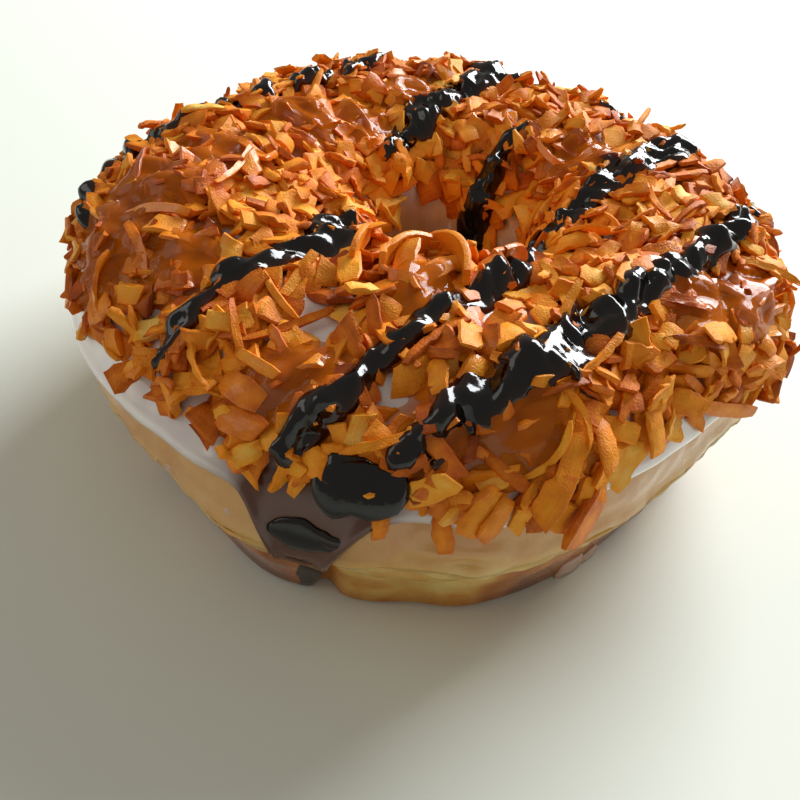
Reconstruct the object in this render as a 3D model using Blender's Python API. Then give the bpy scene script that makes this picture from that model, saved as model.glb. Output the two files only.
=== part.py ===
# A ring doughnut: raised dough, a coat of white icing, toasted coconut flakes and dark drizzle.
# Metres, +Z up. The doughnut rests on z = 0, and the middle of its footprint is the origin.
# A bearing is measured round the ring from the front (-Y) towards the right (+X).
# A climb is the angle round the ring's section: 0 at the outer side, 90 on top, 180 in the hole.

import math

import bmesh
import bpy
import numpy as np
from mathutils import Matrix, Vector

MM = 0.001

# Driving sizes of the dough
DOUGH_RADIUS = 47.0 * MM
DOUGH_HEIGHT = 33.5 * MM
WAIST_HEIGHT = 15.0 * MM
HOLE_RADIUS = 12.0 * MM
HOLE_CENTRE = Vector((3.0 * MM, 0.5 * MM))
UPPER_FULLNESS = 0.92
LOWER_FULLNESS = 0.50
FOOT_START = 0.86

# How the outline departs from a circle: (waves round the ring, cosine, sine)
OUTLINE_WAVES = (
    (2, 1.1 * MM, -0.6 * MM),
    (3, 0.9 * MM, -1.0 * MM),
    (4, 0.6 * MM, 0.7 * MM),
)

# Swellings of the outline over its whole height: (bearing, half-width, depth)
OUTLINE_SWELLINGS = (
    (-78.0, 22.0, 3.2 * MM),
    (66.0, 16.0, 2.4 * MM),
    (2.0, 6.0, -1.2 * MM),
)

# Where the ring's own centre lies, so that the finished footprint is centred on the origin
RING_CENTRE = np.array([0.1 * MM, -0.3 * MM])

# The fold in the side of the dough, and the swellings beside it: (bearing, half-width, depth)
SIDE_SHAPES = (
    (-13.5, 2.6, -2.4 * MM),
    (-23.0, 8.0, 1.3 * MM),
    (6.0, 7.0, 0.5 * MM),
    (58.0, 9.0, -0.7 * MM),
    (-75.0, 10.0, -0.6 * MM),
    (128.0, 12.0, 0.8 * MM),
    (-150.0, 9.0, -0.8 * MM),
)

# The crease where the two fried halves of the dough meet
CREASE_HEIGHT = 10.2 * MM
CREASE_WIDTH = 1.3 * MM
CREASE_DEPTH = 0.7 * MM

# Icing
ICING_GAP = 0.4 * MM
ICING_THICKNESS = 1.3 * MM
ICING_OUTER_EDGE = 12.0
ICING_HOLE_EDGE = 171.0
EDGE_WAVE = 4.0

# The bed of flakes that lies on the icing, and where it starts and ends
BED_THICKNESS = 1.5 * MM
BED_BUMP = 1.0 * MM
BED_TOP = ICING_GAP + ICING_THICKNESS + BED_THICKNESS
BED_OUTER_EDGE = 27.0
BED_HOLE_EDGE = 148.0
BED_FADE = 7.0

# Loose-looking flakes that stand out of the bed
FLAKE_COUNT = 120
FLAKE_LENGTH = (4.0 * MM, 8.5 * MM)
FLAKE_WIDTH = (1.8 * MM, 3.4 * MM)
FLAKE_THICKNESS = 0.8 * MM
FLAKE_SINK = 0.5 * MM
CLEAR_OF_HOLE = 8.0 * MM

# Large flakes that are seen from a step away:
# (plan x, plan y, length, width, heading, lean, bend) in millimetres and degrees
LARGE_FLAKES = (
    (-2.0, -17.5, 12.5, 2.6, 4.0, 62.0, 150.0),
    (-9.5, -17.0, 6.5, 2.8, 115.0, 35.0, 25.0),
    (-10.3, -24.5, 6.0, 3.0, 78.0, 12.0, 20.0),
    (12.5, -47.5, 15.0, 3.2, 77.0, 10.0, 25.0),
    (16.5, -47.0, 9.0, 3.4, 112.0, 20.0, 60.0),
    (15.0, -50.0, 9.5, 4.2, 40.0, 16.0, 20.0),
    (7.5, -50.5, 7.5, 4.5, 50.0, 14.0, 10.0),
    (1.5, -50.0, 7.0, 3.6, 35.0, 24.0, 15.0),
    (-18.0, -42.5, 8.0, 4.4, -28.0, 6.0, 15.0),
    (26.0, -40.5, 9.0, 4.6, 80.0, 14.0, 20.0),
    (36.0, -31.0, 7.5, 3.0, 2.0, 10.0, 10.0),
    (-41.5, -17.0, 13.0, 2.2, 25.0, 12.0, 40.0),
    (27.0, -36.0, 6.0, 3.4, 60.0, 22.0, 20.0),
    (20.0, -13.0, 8.0, 3.0, 62.0, 28.0, 30.0),
    (7.5, 22.5, 9.0, 2.6, 95.0, 24.0, 25.0),
)

# Drizzle: plan points in millimetres, and the half-width at each run's middle
DRIZZLE_THICKNESS = 1.3 * MM
DRIZZLE_RUNS = (
    (2.0, ((-45.5, -10.0), (-43.0, -2.0), (-37.5, 6.0), (-29.0, 12.5), (-22.0, 20.0), (-13.5, 27.5))),
    (2.2, ((-31.0, -37.0), (-25.7, -33.0), (-19.5, -27.8), (-13.8, -21.5), (-11.0, -12.0))),
    (2.5, ((-9.6, 9.0), (-6.0, 14.5), (-2.6, 19.0), (0.0, 24.0), (5.5, 30.5))),
    (2.2, ((-13.3, -48.0), (-9.0, -43.3), (-3.8, -38.0), (2.7, -31.0), (9.5, -22.5))),
    (2.2, ((15.9, -8.0), (22.6, -0.3), (29.0, 7.5), (36.0, 15.0))),
    (3.2, ((-4.6, -48.3), (2.0, -45.5), (9.0, -40.5), (15.7, -33.2), (22.0, -26.0))),
    (2.2, ((22.0, -26.0), (29.0, -18.5), (37.0, -9.0), (43.0, -1.0))),
    (1.6, ((13.5, 19.5), (10.3, 16.8), (8.6, 14.6))),
)

# Dark pools on the front: (plan x, plan y, half-length, half-width, heading)
POOLS = ((-6.0, -49.0, 4.4, 2.6, 8.0),)

# Mesh fineness. The dough's flat foot lies between the climbs -59.4 and -120.6.
BEARINGS = 78
DOUGH_CLIMBS = (
    *(-59.4, -50.0, -37.0, -25.0, -12.0, 0.0, 14.0, 30.0, 47.0, 64.0),
    *(82.0, 98.0, 115.0, 132.0, 150.0, 166.0, 180.0, 200.0, 218.0, 239.4),
)
ICING_ROWS = 11
SEED = 13
WELD = 0.004 * MM


def bump(distance, width):
    """A smooth hump, 1 in the middle and near 0 two widths away."""
    return np.exp(-((distance / width) ** 2))


def turn_between(a, b):
    """The smallest turn from b to a, in degrees."""
    return (a - b + 180.0) % 360.0 - 180.0


def ripple(bearing, seed, waves=(5, 8, 13, 21)):
    """A smooth uneven line round the ring, between about -1 and 1."""
    phases = np.random.default_rng(seed).uniform(0, 2 * math.pi, len(waves))
    angle = np.radians(bearing)
    total = sum(np.sin(n * angle + p) / (1 + 0.12 * n) for n, p in zip(waves, phases))
    return total / 2.2


def direction(bearing):
    angle = np.radians(bearing)
    return np.stack([np.sin(angle), -np.cos(angle)], axis=-1)


def outer_radius(bearing):
    angle = np.radians(bearing)
    waves = sum(c * np.cos(n * angle) + s * np.sin(n * angle) for n, c, s in OUTLINE_WAVES)
    swelling = sum(d * bump(turn_between(bearing, b), w) for b, w, d in OUTLINE_SWELLINGS)
    return DOUGH_RADIUS + waves + swelling


def side_relief(bearing, height):
    """How far the side stands out: the fold, the swellings and the crease round the waist."""
    local = sum(d * bump(turn_between(bearing, b), w) for b, w, d in SIDE_SHAPES)
    low_side = 1.0 / (1.0 + np.exp((height - 22.0 * MM) / (2.5 * MM)))
    crease_line = CREASE_HEIGHT + 1.4 * MM * ripple(bearing, 3, (3, 5, 9))
    crease = -CREASE_DEPTH * bump(height - crease_line, CREASE_WIDTH)
    return local * low_side + crease


def dough_point(bearing, climb):
    """The dough's surface as an array of points, for arrays of bearings and climbs in degrees."""
    bearing, climb = np.broadcast_arrays(np.asarray(bearing, float), np.asarray(climb, float))
    along = direction(bearing)
    outer = along * outer_radius(bearing)[..., None]
    hole = along * (HOLE_RADIUS * (1 + 0.06 * ripple(bearing, 5, (2, 3, 5))))[..., None]
    inner = hole + np.array(HOLE_CENTRE)
    middle, half = (outer + inner) / 2, (outer - inner) / 2
    angle = np.radians(climb)
    across, rise = np.cos(angle), np.sin(angle)
    crown = DOUGH_HEIGHT * (1 + 0.018 * ripple(bearing, 7, (1, 2, 3, 4)))
    upper = WAIST_HEIGHT + (crown - WAIST_HEIGHT) * np.abs(rise) ** 0.96
    # Under the waist the section bellies down to a flat foot, and stays flat across it.
    drop = np.clip(-rise / FOOT_START, 0, 1)
    lower = WAIST_HEIGHT * np.sqrt(1 - drop**2.2)
    height = np.where(rise >= 0, upper, lower)
    fullness = np.where(rise >= 0, UPPER_FULLNESS, LOWER_FULLNESS)
    across = np.sign(across) * np.abs(across) ** fullness
    plan = middle + half * across[..., None]
    outside = np.clip(across, 0, 1) ** 0.5
    plan = plan + along * (side_relief(bearing, height) * outside)[..., None] + RING_CENTRE
    return np.concatenate([plan, height[..., None]], axis=-1)


def dough_normal(bearing, climb):
    """Unit normals that point out of the dough."""
    step = 0.05
    round_way = dough_point(bearing + step, climb) - dough_point(bearing - step, climb)
    up_way = dough_point(bearing, climb + step) - dough_point(bearing, climb - step)
    normal = np.cross(round_way, up_way)
    return normal / np.linalg.norm(normal, axis=-1, keepdims=True)


def above_dough(bearing, climb, height):
    return dough_point(bearing, climb) + dough_normal(bearing, climb) * np.asarray(height)[..., None]


def icing_edges(bearing):
    """Climbs where the icing ends on the side and in the hole."""
    fold = 5.0 * bump(turn_between(bearing, -11.0), 5.0)
    side = ICING_OUTER_EDGE + EDGE_WAVE * ripple(bearing, 11, (4, 7, 11, 17)) - fold
    inside = ICING_HOLE_EDGE + EDGE_WAVE * ripple(bearing, 13, (2, 3, 5))
    return side, inside


def bed_height(bearing, climb, noise):
    """Thickness of the flake bed on top of the icing."""
    side = BED_OUTER_EDGE + 5.0 * ripple(bearing, 17, (5, 9, 14, 23))
    inside = BED_HOLE_EDGE + 5.0 * ripple(bearing, 19, (3, 5, 8))
    rise = np.clip((climb - side) / BED_FADE, 0, 1)
    fall = np.clip((inside - climb) / BED_FADE, 0, 1)
    cover = rise * fall
    return cover * (BED_THICKNESS + BED_BUMP * noise)


def new_object(name, mesh):
    thing = bpy.data.objects.new(name, mesh)
    bpy.context.scene.collection.objects.link(thing)
    return thing


def mesh_from(name, points, faces):
    """A closed mesh with its faces pointing out."""
    mesh = bpy.data.meshes.new(name)
    mesh.from_pydata([tuple(p) for p in points], [], faces)
    work = bmesh.new()
    work.from_mesh(mesh)
    bmesh.ops.recalc_face_normals(work, faces=work.faces)
    if work.calc_volume(signed=True) < 0:
        bmesh.ops.reverse_faces(work, faces=work.faces)
    work.to_mesh(mesh)
    work.free()
    return mesh


def ring_faces(columns, rows):
    """Quads of a grid closed both ways. Point (column, row) is column * rows + row."""
    faces = []
    for c in range(columns):
        for r in range(rows):
            a, b = c * rows + r, ((c + 1) % columns) * rows + r
            up = (r + 1) % rows - r
            faces.append((a, b, b + up, a + up))
    return faces


def make_material(name, colour, roughness):
    material = bpy.data.materials.new(name)
    material.use_nodes = True
    shader = material.node_tree.nodes["Principled BSDF"]
    shader.inputs["Base Color"].default_value = (*colour, 1.0)
    shader.inputs["Roughness"].default_value = roughness
    shader.inputs["Metallic"].default_value = 0.0
    return material


def dress(thing, material):
    thing.data.materials.clear()
    thing.data.materials.append(material)
    thing.data.shade_smooth()
    thing.data.set_sharp_from_angle(angle=math.radians(40.0))


def build_dough():
    bearings = np.arange(BEARINGS) * 360.0 / BEARINGS
    grid_bearing, grid_climb = np.meshgrid(bearings, DOUGH_CLIMBS, indexing="ij")
    points = dough_point(grid_bearing, grid_climb).reshape(-1, 3)
    faces = ring_faces(BEARINGS, len(DOUGH_CLIMBS))
    dough = new_object("dough", mesh_from("dough", points, faces))
    dress(dough, make_material("fried_dough", (0.66, 0.43, 0.20), 0.45))
    return dough


def build_icing():
    """The coat of icing with the flake bed raised on it: an outer skin, an inner skin, and both rims."""
    rng = np.random.default_rng(SEED)
    bearings = np.arange(BEARINGS) * 360.0 / BEARINGS
    side, inside = icing_edges(bearings)
    share = np.linspace(0.0, 1.0, ICING_ROWS)
    climbs = side[:, None] + (inside - side)[:, None] * share[None, :]
    grid_bearing = np.repeat(bearings[:, None], ICING_ROWS, axis=1)
    noise = rng.uniform(-1.0, 1.0, climbs.shape)
    skin = ICING_GAP + ICING_THICKNESS + bed_height(grid_bearing, climbs, noise)
    skin[:, 0] = skin[:, -1] = ICING_GAP + 0.75 * ICING_THICKNESS
    outer = above_dough(grid_bearing, climbs, skin)
    inner = above_dough(grid_bearing, climbs[:, ::-1], np.full(climbs.shape, ICING_GAP))
    points = np.concatenate([outer, inner], axis=1).reshape(-1, 3)
    faces = ring_faces(BEARINGS, 2 * ICING_ROWS)
    return new_object("iced_topping", mesh_from("iced_topping", points, faces))


def place_on_ring(plan):
    """The bearing and climb where the topping lies over a plan point, on a grid made finer twice.

    Plan points are counted from the ring's own centre.
    """
    bearing = math.degrees(math.atan2(plan[0], -plan[1]))
    climb = 90.0
    for spread, rise in ((12.0, 90.0), (2.0, 8.0), (0.4, 1.5)):
        bearings = bearing + np.linspace(-spread, spread, 13)
        climbs = np.clip(climb + np.linspace(-rise, rise, 25), 0.0, 180.0)
        grid_bearing, grid_climb = np.meshgrid(bearings, climbs, indexing="ij")
        gaps = above_dough(grid_bearing, grid_climb, BED_TOP)[..., :2] - RING_CENTRE - plan
        best = np.argmin(np.linalg.norm(gaps, axis=-1))
        bearing, climb = grid_bearing.flat[best], grid_climb.flat[best]
    return bearing, climb


def frame_at(bearing, climb, height, heading):
    """A frame on the coat: X along the heading in plan, Z out of the surface."""
    origin = Vector(above_dough(bearing, climb, height))
    out = Vector(dough_normal(bearing, climb))
    angle = math.radians(heading)
    ahead = Vector((math.cos(angle), math.sin(angle), 0.0))
    ahead = (ahead - out * ahead.dot(out)).normalized()
    side = out.cross(ahead)
    return Matrix.Translation(origin) @ Matrix((ahead, side, out)).transposed().to_4x4()


def flake_mesh(length, width, bend, taper):
    """A bent strip with four corners at each of its cuts."""
    cuts = 3 if bend < 70.0 else 5
    turn = math.radians(max(bend, 1.0))
    radius = length / turn
    points = []
    for i in range(cuts):
        share = i / (cuts - 1) - 0.5
        angle = share * turn
        centre = Vector((radius * math.sin(angle), 0.0, radius * (math.cos(angle) - 1.0)))
        out = Vector((math.sin(angle), 0.0, math.cos(angle)))
        half = 0.5 * width * (1.0 - taper * (2.0 * share) ** 2)
        for side, level in ((-1, -1), (1, -1), (1, 1), (-1, 1)):
            points.append(centre + Vector((0, side * half, 0)) + out * level * 0.5 * FLAKE_THICKNESS)
    faces = [(0, 1, 2, 3), tuple(4 * (cuts - 1) + k for k in range(4))]
    for i in range(cuts - 1):
        for k in range(4):
            a, b = 4 * i + k, 4 * i + (k + 1) % 4
            faces.append((a, b, b + 4, a + 4))
    return points, faces


def add_flake(group, name, frame, length, width, lean, bend, taper):
    """One flake, leaning up out of the bed about its lower end."""
    points, faces = flake_mesh(length, width, bend, taper)
    tilt = Matrix.Rotation(math.radians(-lean), 4, "Y")
    rest = Matrix.Translation((0.0, 0.0, 0.5 * length * math.sin(math.radians(lean)) - FLAKE_SINK))
    moved = [frame @ rest @ tilt @ p for p in points]
    flake = bpy.data.objects.new(name, mesh_from(name, moved, faces))
    group.objects.link(flake)


def add_large_flakes(group):
    """The flakes that the table places. A strongly bent one stands on its edge as an arch."""
    for i, (x, y, length, width, heading, lean, bend) in enumerate(LARGE_FLAKES):
        bearing, climb = place_on_ring((x * MM, y * MM))
        if bend > 100.0:
            frame = frame_at(bearing, climb, BED_TOP + 1.2 * MM, heading)
            add_flake(group, f"large_{i}", frame, length * MM, width * MM, 0.0, bend, 0.15)
        else:
            frame = frame_at(bearing, climb, BED_TOP, heading)
            add_flake(group, f"large_{i}", frame, length * MM, width * MM, lean, bend, 0.25)


def add_small_flakes(group):
    """Flakes spread evenly over the bed by a low-discrepancy rule, largest first."""
    rng = np.random.default_rng(SEED + 1)
    step_round, step_up = 0.7548776662, 0.5698402910
    made, tried = 0, 0
    while made < FLAKE_COUNT:
        tried += 1
        bearing = 360.0 * ((tried * step_round) % 1.0)
        climb = BED_OUTER_EDGE + (BED_HOLE_EDGE - BED_OUTER_EDGE) * ((tried * step_up) % 1.0)
        # The ring is longer round its outer side, so fewer tries are kept near the hole.
        plan = dough_point(bearing, climb)[:2] - RING_CENTRE
        if rng.uniform() > np.linalg.norm(plan) / DOUGH_RADIUS:
            continue
        size = 1.0 - made / FLAKE_COUNT
        length = FLAKE_LENGTH[0] + (FLAKE_LENGTH[1] - FLAKE_LENGTH[0]) * size
        width = FLAKE_WIDTH[0] + (FLAKE_WIDTH[1] - FLAKE_WIDTH[0]) * rng.uniform()
        lean = 6.0 + 22.0 * rng.uniform() ** 1.5
        bend = 10.0 + 45.0 * rng.uniform()
        heading = rng.uniform(0.0, 360.0)
        reach = np.linalg.norm(plan - np.array(HOLE_CENTRE)) - 0.5 * length
        made += 1
        if reach < CLEAR_OF_HOLE:
            continue
        frame = frame_at(bearing, climb, BED_TOP, heading)
        add_flake(group, f"flake_{made}", frame, length, width, lean, bend, 0.45)


def smooth_route(points, spacing):
    """Plan points read every so often from a smooth curve through the route's own points."""
    points = np.array(points, float) * MM
    padded = np.concatenate([[2 * points[0] - points[1]], points, [2 * points[-1] - points[-2]]])
    route = []
    for a, b, c, d in zip(padded[:-3], padded[1:-2], padded[2:-1], padded[3:]):
        steps = max(2, int(np.linalg.norm(c - b) / spacing))
        for t in np.arange(steps) / steps:
            route.append(
                0.5 * (2 * b + (c - a) * t + (2 * a - 5 * b + 4 * c - d) * t**2 + (3 * b - a - 3 * c + d) * t**3)
            )
    route.append(points[-1])
    return np.array(route)


def add_drizzle_run(group, name, half_width, points):
    """A low, round-backed ribbon that follows the coat under its route."""
    route = smooth_route(points, 3.4 * MM)
    spots = [place_on_ring(p) for p in route]
    centres = np.array([above_dough(b, c, BED_TOP) for b, c in spots])
    outs = np.array([dough_normal(b, c) for b, c in spots])
    aheads = np.gradient(centres, axis=0)
    sides = np.cross(outs, aheads)
    sides /= np.linalg.norm(sides, axis=1, keepdims=True)
    sections = ((-1.0, -1.2), (1.0, -1.2), (0.95, 0.15), (0.45, 0.9), (-0.45, 0.9), (-0.95, 0.15))
    points = []
    for i, (centre, out, side) in enumerate(zip(centres, outs, sides)):
        share = i / (len(centres) - 1)
        swell = 0.62 + 0.38 * math.sin(math.pi * share) + 0.12 * math.sin(9.0 * share + half_width)
        half = half_width * MM * swell
        for across, up in sections:
            points.append(centre + side * across * half + out * up * DRIZZLE_THICKNESS)
    count = len(sections)
    last = count * (len(centres) - 1)
    faces = [tuple(range(count)), tuple(last + k for k in range(count))]
    for i in range(len(centres) - 1):
        for k in range(count):
            a, b = count * i + k, count * i + (k + 1) % count
            faces.append((a, b, b + count, a + count))
    ribbon = bpy.data.objects.new(name, mesh_from(name, points, faces))
    group.objects.link(ribbon)


def add_pool(group, name, x, y, half_length, half_width, heading):
    """A domed drop that lies on the coat."""
    bearing, climb = place_on_ring((x * MM, y * MM))
    frame = frame_at(bearing, climb, ICING_GAP + ICING_THICKNESS + 0.4 * MM, heading)
    work = bmesh.new()
    bmesh.ops.create_icosphere(work, subdivisions=2, radius=1.0)
    size = Matrix.Diagonal((half_length * MM, half_width * MM, 1.6 * MM, 1.0))
    bmesh.ops.transform(work, matrix=frame @ size, verts=work.verts)
    mesh = bpy.data.meshes.new(name)
    work.to_mesh(mesh)
    work.free()
    group.objects.link(bpy.data.objects.new(name, mesh))


def fuse(base, group):
    """Joins the group to the base in one union, then removes the group's objects."""
    union = base.modifiers.new("fuse_toppings", "BOOLEAN")
    union.operation = "UNION"
    union.solver = "MANIFOLD"
    union.operand_type = "COLLECTION"
    union.collection = group
    bpy.context.view_layer.update()
    graph = bpy.context.evaluated_depsgraph_get()
    fused = bpy.data.meshes.new_from_object(base.evaluated_get(graph))
    base.modifiers.clear()
    base.data = fused
    for thing in list(group.objects):
        bpy.data.objects.remove(thing)
    bpy.data.collections.remove(group)


def keep_largest_body(thing):
    """Drops loose scraps, and fills hollows that the union sealed, by keeping the outermost skin."""
    work = bmesh.new()
    work.from_mesh(thing.data)
    bmesh.ops.dissolve_degenerate(work, edges=work.edges, dist=WELD)
    bmesh.ops.triangulate(work, faces=work.faces)
    left = set(work.faces)
    bodies = []
    while left:
        stack = [left.pop()]
        body = []
        while stack:
            face = stack.pop()
            body.append(face)
            for edge in face.edges:
                if len(edge.link_faces) != 2:
                    continue
                for other in edge.link_faces:
                    if other in left:
                        left.remove(other)
                        stack.append(other)
        bodies.append(body)
    bodies.sort(key=len, reverse=True)
    for body in bodies[1:]:
        bmesh.ops.delete(work, geom=body, context="FACES")
    work.to_mesh(thing.data)
    work.free()


def build_topping():
    icing = build_icing()
    group = bpy.data.collections.new("toppings")
    bpy.context.scene.collection.children.link(group)
    add_large_flakes(group)
    add_small_flakes(group)
    for i, (half_width, points) in enumerate(DRIZZLE_RUNS):
        add_drizzle_run(group, f"drizzle_{i}", half_width, points)
    for i, pool in enumerate(POOLS):
        add_pool(group, f"pool_{i}", *pool)
    fuse(icing, group)
    keep_largest_body(icing)
    dress(icing, make_material("iced_coconut", (0.78, 0.42, 0.14), 0.4))
    return icing


def main():
    for thing in list(bpy.data.objects):
        bpy.data.objects.remove(thing)
    build_dough()
    build_topping()


main()
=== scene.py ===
# A ring doughnut with white icing, toasted coconut, caramel and dark chocolate drizzle.
# Lengths are millimetres until a mesh is made. The doughnut rests on z = 0.
# A bearing is measured round the ring from the front (-Y) towards the right (+X), in degrees.
# A climb is the angle round the ring's section: 0 at the outer side, 90 on top, 180 in the hole.

import math

import bpy
import numpy as np
from mathutils import Matrix, Vector


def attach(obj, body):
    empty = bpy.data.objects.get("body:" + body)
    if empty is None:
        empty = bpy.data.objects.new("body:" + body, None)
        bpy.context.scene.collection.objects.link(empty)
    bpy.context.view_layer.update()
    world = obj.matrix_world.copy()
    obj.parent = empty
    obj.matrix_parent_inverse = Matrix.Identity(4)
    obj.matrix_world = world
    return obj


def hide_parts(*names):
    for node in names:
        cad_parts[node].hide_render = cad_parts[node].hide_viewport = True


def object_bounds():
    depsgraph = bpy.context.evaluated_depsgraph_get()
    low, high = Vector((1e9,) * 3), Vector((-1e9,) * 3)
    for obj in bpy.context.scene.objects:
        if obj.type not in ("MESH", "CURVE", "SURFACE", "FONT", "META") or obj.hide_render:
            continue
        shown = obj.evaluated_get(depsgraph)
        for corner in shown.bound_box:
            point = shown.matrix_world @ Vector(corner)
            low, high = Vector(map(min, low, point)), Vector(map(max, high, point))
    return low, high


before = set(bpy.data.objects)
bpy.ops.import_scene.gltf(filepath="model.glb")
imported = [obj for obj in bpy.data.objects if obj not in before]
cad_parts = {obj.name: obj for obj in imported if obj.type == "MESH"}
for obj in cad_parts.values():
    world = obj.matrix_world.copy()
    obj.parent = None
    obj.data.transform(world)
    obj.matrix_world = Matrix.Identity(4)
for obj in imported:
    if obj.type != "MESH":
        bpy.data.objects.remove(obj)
cad_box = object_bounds()

MM = 0.001

# Camera, as fitted to the photograph
IMAGE_SIZE = 800
SENSOR = 36.0
FOCAL_PIXELS = 880.0
LOOK_AT = np.array([-2.35, -5.63, 0.0])
CAMERA_RISE = math.radians(42.1)
CAMERA_DISTANCE = 138.4
CAMERA_ROLL = math.radians(5.7)

# The dough, as in the solid model
DOUGH_RADIUS = 47.0
DOUGH_HEIGHT = 33.5
WAIST_HEIGHT = 15.0
HOLE_RADIUS = 12.0
HOLE_CENTRE = np.array([3.0, 0.5])
UPPER_FULLNESS = 0.92
LOWER_FULLNESS = 0.50
FOOT_START = 0.86
OUTLINE_WAVES = ((2, 1.1, -0.6), (3, 0.9, -1.0), (4, 0.6, 0.7))
OUTLINE_SWELLINGS = ((-78.0, 22.0, 3.2), (66.0, 16.0, 2.4), (2.0, 6.0, -1.2))
RING_CENTRE = np.array([0.1, -0.3])
SIDE_SHAPES = (
    (-13.5, 2.6, -2.4),
    (-23.0, 8.0, 1.3),
    (6.0, 7.0, 0.5),
    (58.0, 9.0, -0.7),
    (-75.0, 10.0, -0.6),
    (128.0, 12.0, 0.8),
    (-150.0, 9.0, -0.8),
)
SIDE_SHAPES_TOP = 22.0
CREASE_HEIGHT = 10.2
CREASE_WAVER = 1.4
CREASE_WIDTH = 1.3
CREASE_DEPTH = 0.7

# Icing
ICING_GAP = 0.05
ICING_THICKNESS = 1.65
ICING_HOLE_EDGE = 178.0

# Where the icing and the flakes end on the side, as seen in the photograph: pixels, left to right
ICING_EDGE_PIXELS = (
    *((95, 383), (131, 421), (182, 464), (223, 482), (250, 491), (260, 534), (282, 558)),
    *((318, 566), (345, 556), (362, 530), (392, 525), (426, 532), (502, 535), (548, 523), (619, 487)),
    *((659, 468), (689, 451), (717, 421), (740, 410)),
)
FLAKE_EDGE_PIXELS = (
    *((80, 300), (112, 345), (150, 395), (205, 425), (240, 462), (285, 480)),
    *((335, 488), (400, 508), (450, 518), (520, 522), (575, 522), (615, 478)),
    *((650, 455), (700, 405), (745, 398), (780, 372)),
)
BACK_ICING_EDGE = 14.0
BACK_FLAKE_EDGE = 26.0
FLAKE_HOLE_EDGE = 154.0

SEED = 7


def bump(distance, width):
    """A smooth hump, 1 in the middle and near 0 two widths away."""
    return np.exp(-((distance / width) ** 2))


def turn_between(a, b):
    """The smallest turn from b to a, in degrees."""
    return (a - b + 180.0) % 360.0 - 180.0


def ripple(bearing, seed, waves=(5, 8, 13, 21)):
    """A smooth uneven line round the ring, between about -1 and 1."""
    phases = np.random.default_rng(seed).uniform(0, 2 * math.pi, len(waves))
    angle = np.radians(bearing)
    total = sum(np.sin(n * angle + p) / (1 + 0.12 * n) for n, p in zip(waves, phases))
    return total / 2.2


def direction(bearing):
    angle = np.radians(bearing)
    return np.stack([np.sin(angle), -np.cos(angle)], axis=-1)


def outer_radius(bearing):
    angle = np.radians(bearing)
    waves = sum(c * np.cos(n * angle) + s * np.sin(n * angle) for n, c, s in OUTLINE_WAVES)
    swelling = sum(d * bump(turn_between(bearing, b), w) for b, w, d in OUTLINE_SWELLINGS)
    return DOUGH_RADIUS + waves + swelling


def crease_line(bearing):
    """The height of the crease round the waist."""
    return CREASE_HEIGHT + CREASE_WAVER * ripple(bearing, 3, (3, 5, 9))


def below(height, limit, softness):
    """1 below a limit and 0 above it, with a soft change between."""
    return 1.0 / (1.0 + np.exp((height - limit) / softness))


def side_relief(bearing, height):
    """How far the side stands out: the fold, the swellings and the crease round the waist."""
    local = sum(d * bump(turn_between(bearing, b), w) for b, w, d in SIDE_SHAPES)
    crease = -CREASE_DEPTH * bump(height - crease_line(bearing), CREASE_WIDTH)
    return local * below(height, SIDE_SHAPES_TOP, 2.5) + crease


def dough_point(bearing, climb):
    """The dough's surface as an array of points, for arrays of bearings and climbs in degrees."""
    bearing, climb = np.broadcast_arrays(np.asarray(bearing, float), np.asarray(climb, float))
    along = direction(bearing)
    outer = along * outer_radius(bearing)[..., None]
    hole = along * (HOLE_RADIUS * (1 + 0.06 * ripple(bearing, 5, (2, 3, 5))))[..., None]
    inner = hole + HOLE_CENTRE
    middle, half = (outer + inner) / 2, (outer - inner) / 2
    angle = np.radians(climb)
    across, rise = np.cos(angle), np.sin(angle)
    crown = DOUGH_HEIGHT * (1 + 0.018 * ripple(bearing, 7, (1, 2, 3, 4)))
    upper = WAIST_HEIGHT + (crown - WAIST_HEIGHT) * np.abs(rise) ** 0.96
    drop = np.clip(-rise / FOOT_START, 0, 1)
    lower = WAIST_HEIGHT * np.sqrt(1 - drop**2.2)
    height = np.where(rise >= 0, upper, lower)
    fullness = np.where(rise >= 0, UPPER_FULLNESS, LOWER_FULLNESS)
    across = np.sign(across) * np.abs(across) ** fullness
    plan = middle + half * across[..., None]
    outside = np.clip(across, 0, 1) ** 0.5
    plan = plan + along * (side_relief(bearing, height) * outside)[..., None] + RING_CENTRE
    return np.concatenate([plan, height[..., None]], axis=-1)


def unit(vectors):
    return vectors / np.maximum(np.linalg.norm(vectors, axis=-1, keepdims=True), 1e-9)


def dough_normal(bearing, climb):
    step = 0.2
    round_way = dough_point(bearing + step, climb) - dough_point(bearing - step, climb)
    up_way = dough_point(bearing, climb + step) - dough_point(bearing, climb - step)
    return unit(np.cross(round_way, up_way))


# Smooth noise on a grid that closes round the ring


def blur(field, across_rows, across_columns):
    """A soft average over a grid that closes round its first axis. Widths are in grid steps."""
    rows, columns = field.shape
    pad = columns
    mirrored = np.concatenate([field[:, ::-1], field, field[:, ::-1]], axis=1)
    spectrum = np.fft.rfft2(mirrored)
    fy = np.fft.fftfreq(rows)[:, None]
    fx = np.fft.rfftfreq(mirrored.shape[1])[None, :]
    spectrum *= np.exp(-2 * (math.pi**2) * ((fy * across_rows) ** 2 + (fx * across_columns) ** 2))
    return np.fft.irfft2(spectrum, mirrored.shape)[:, pad : 2 * pad]


def smooth_noise(shape, rows, columns, seed):
    """Noise with a spread of about 1, whose lumps are this many grid steps wide."""
    noise = blur(np.random.default_rng(seed).normal(size=shape), rows, columns)
    return noise / noise.std()


# The coat: a grid of places on the icing, where everything on top is laid

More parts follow.
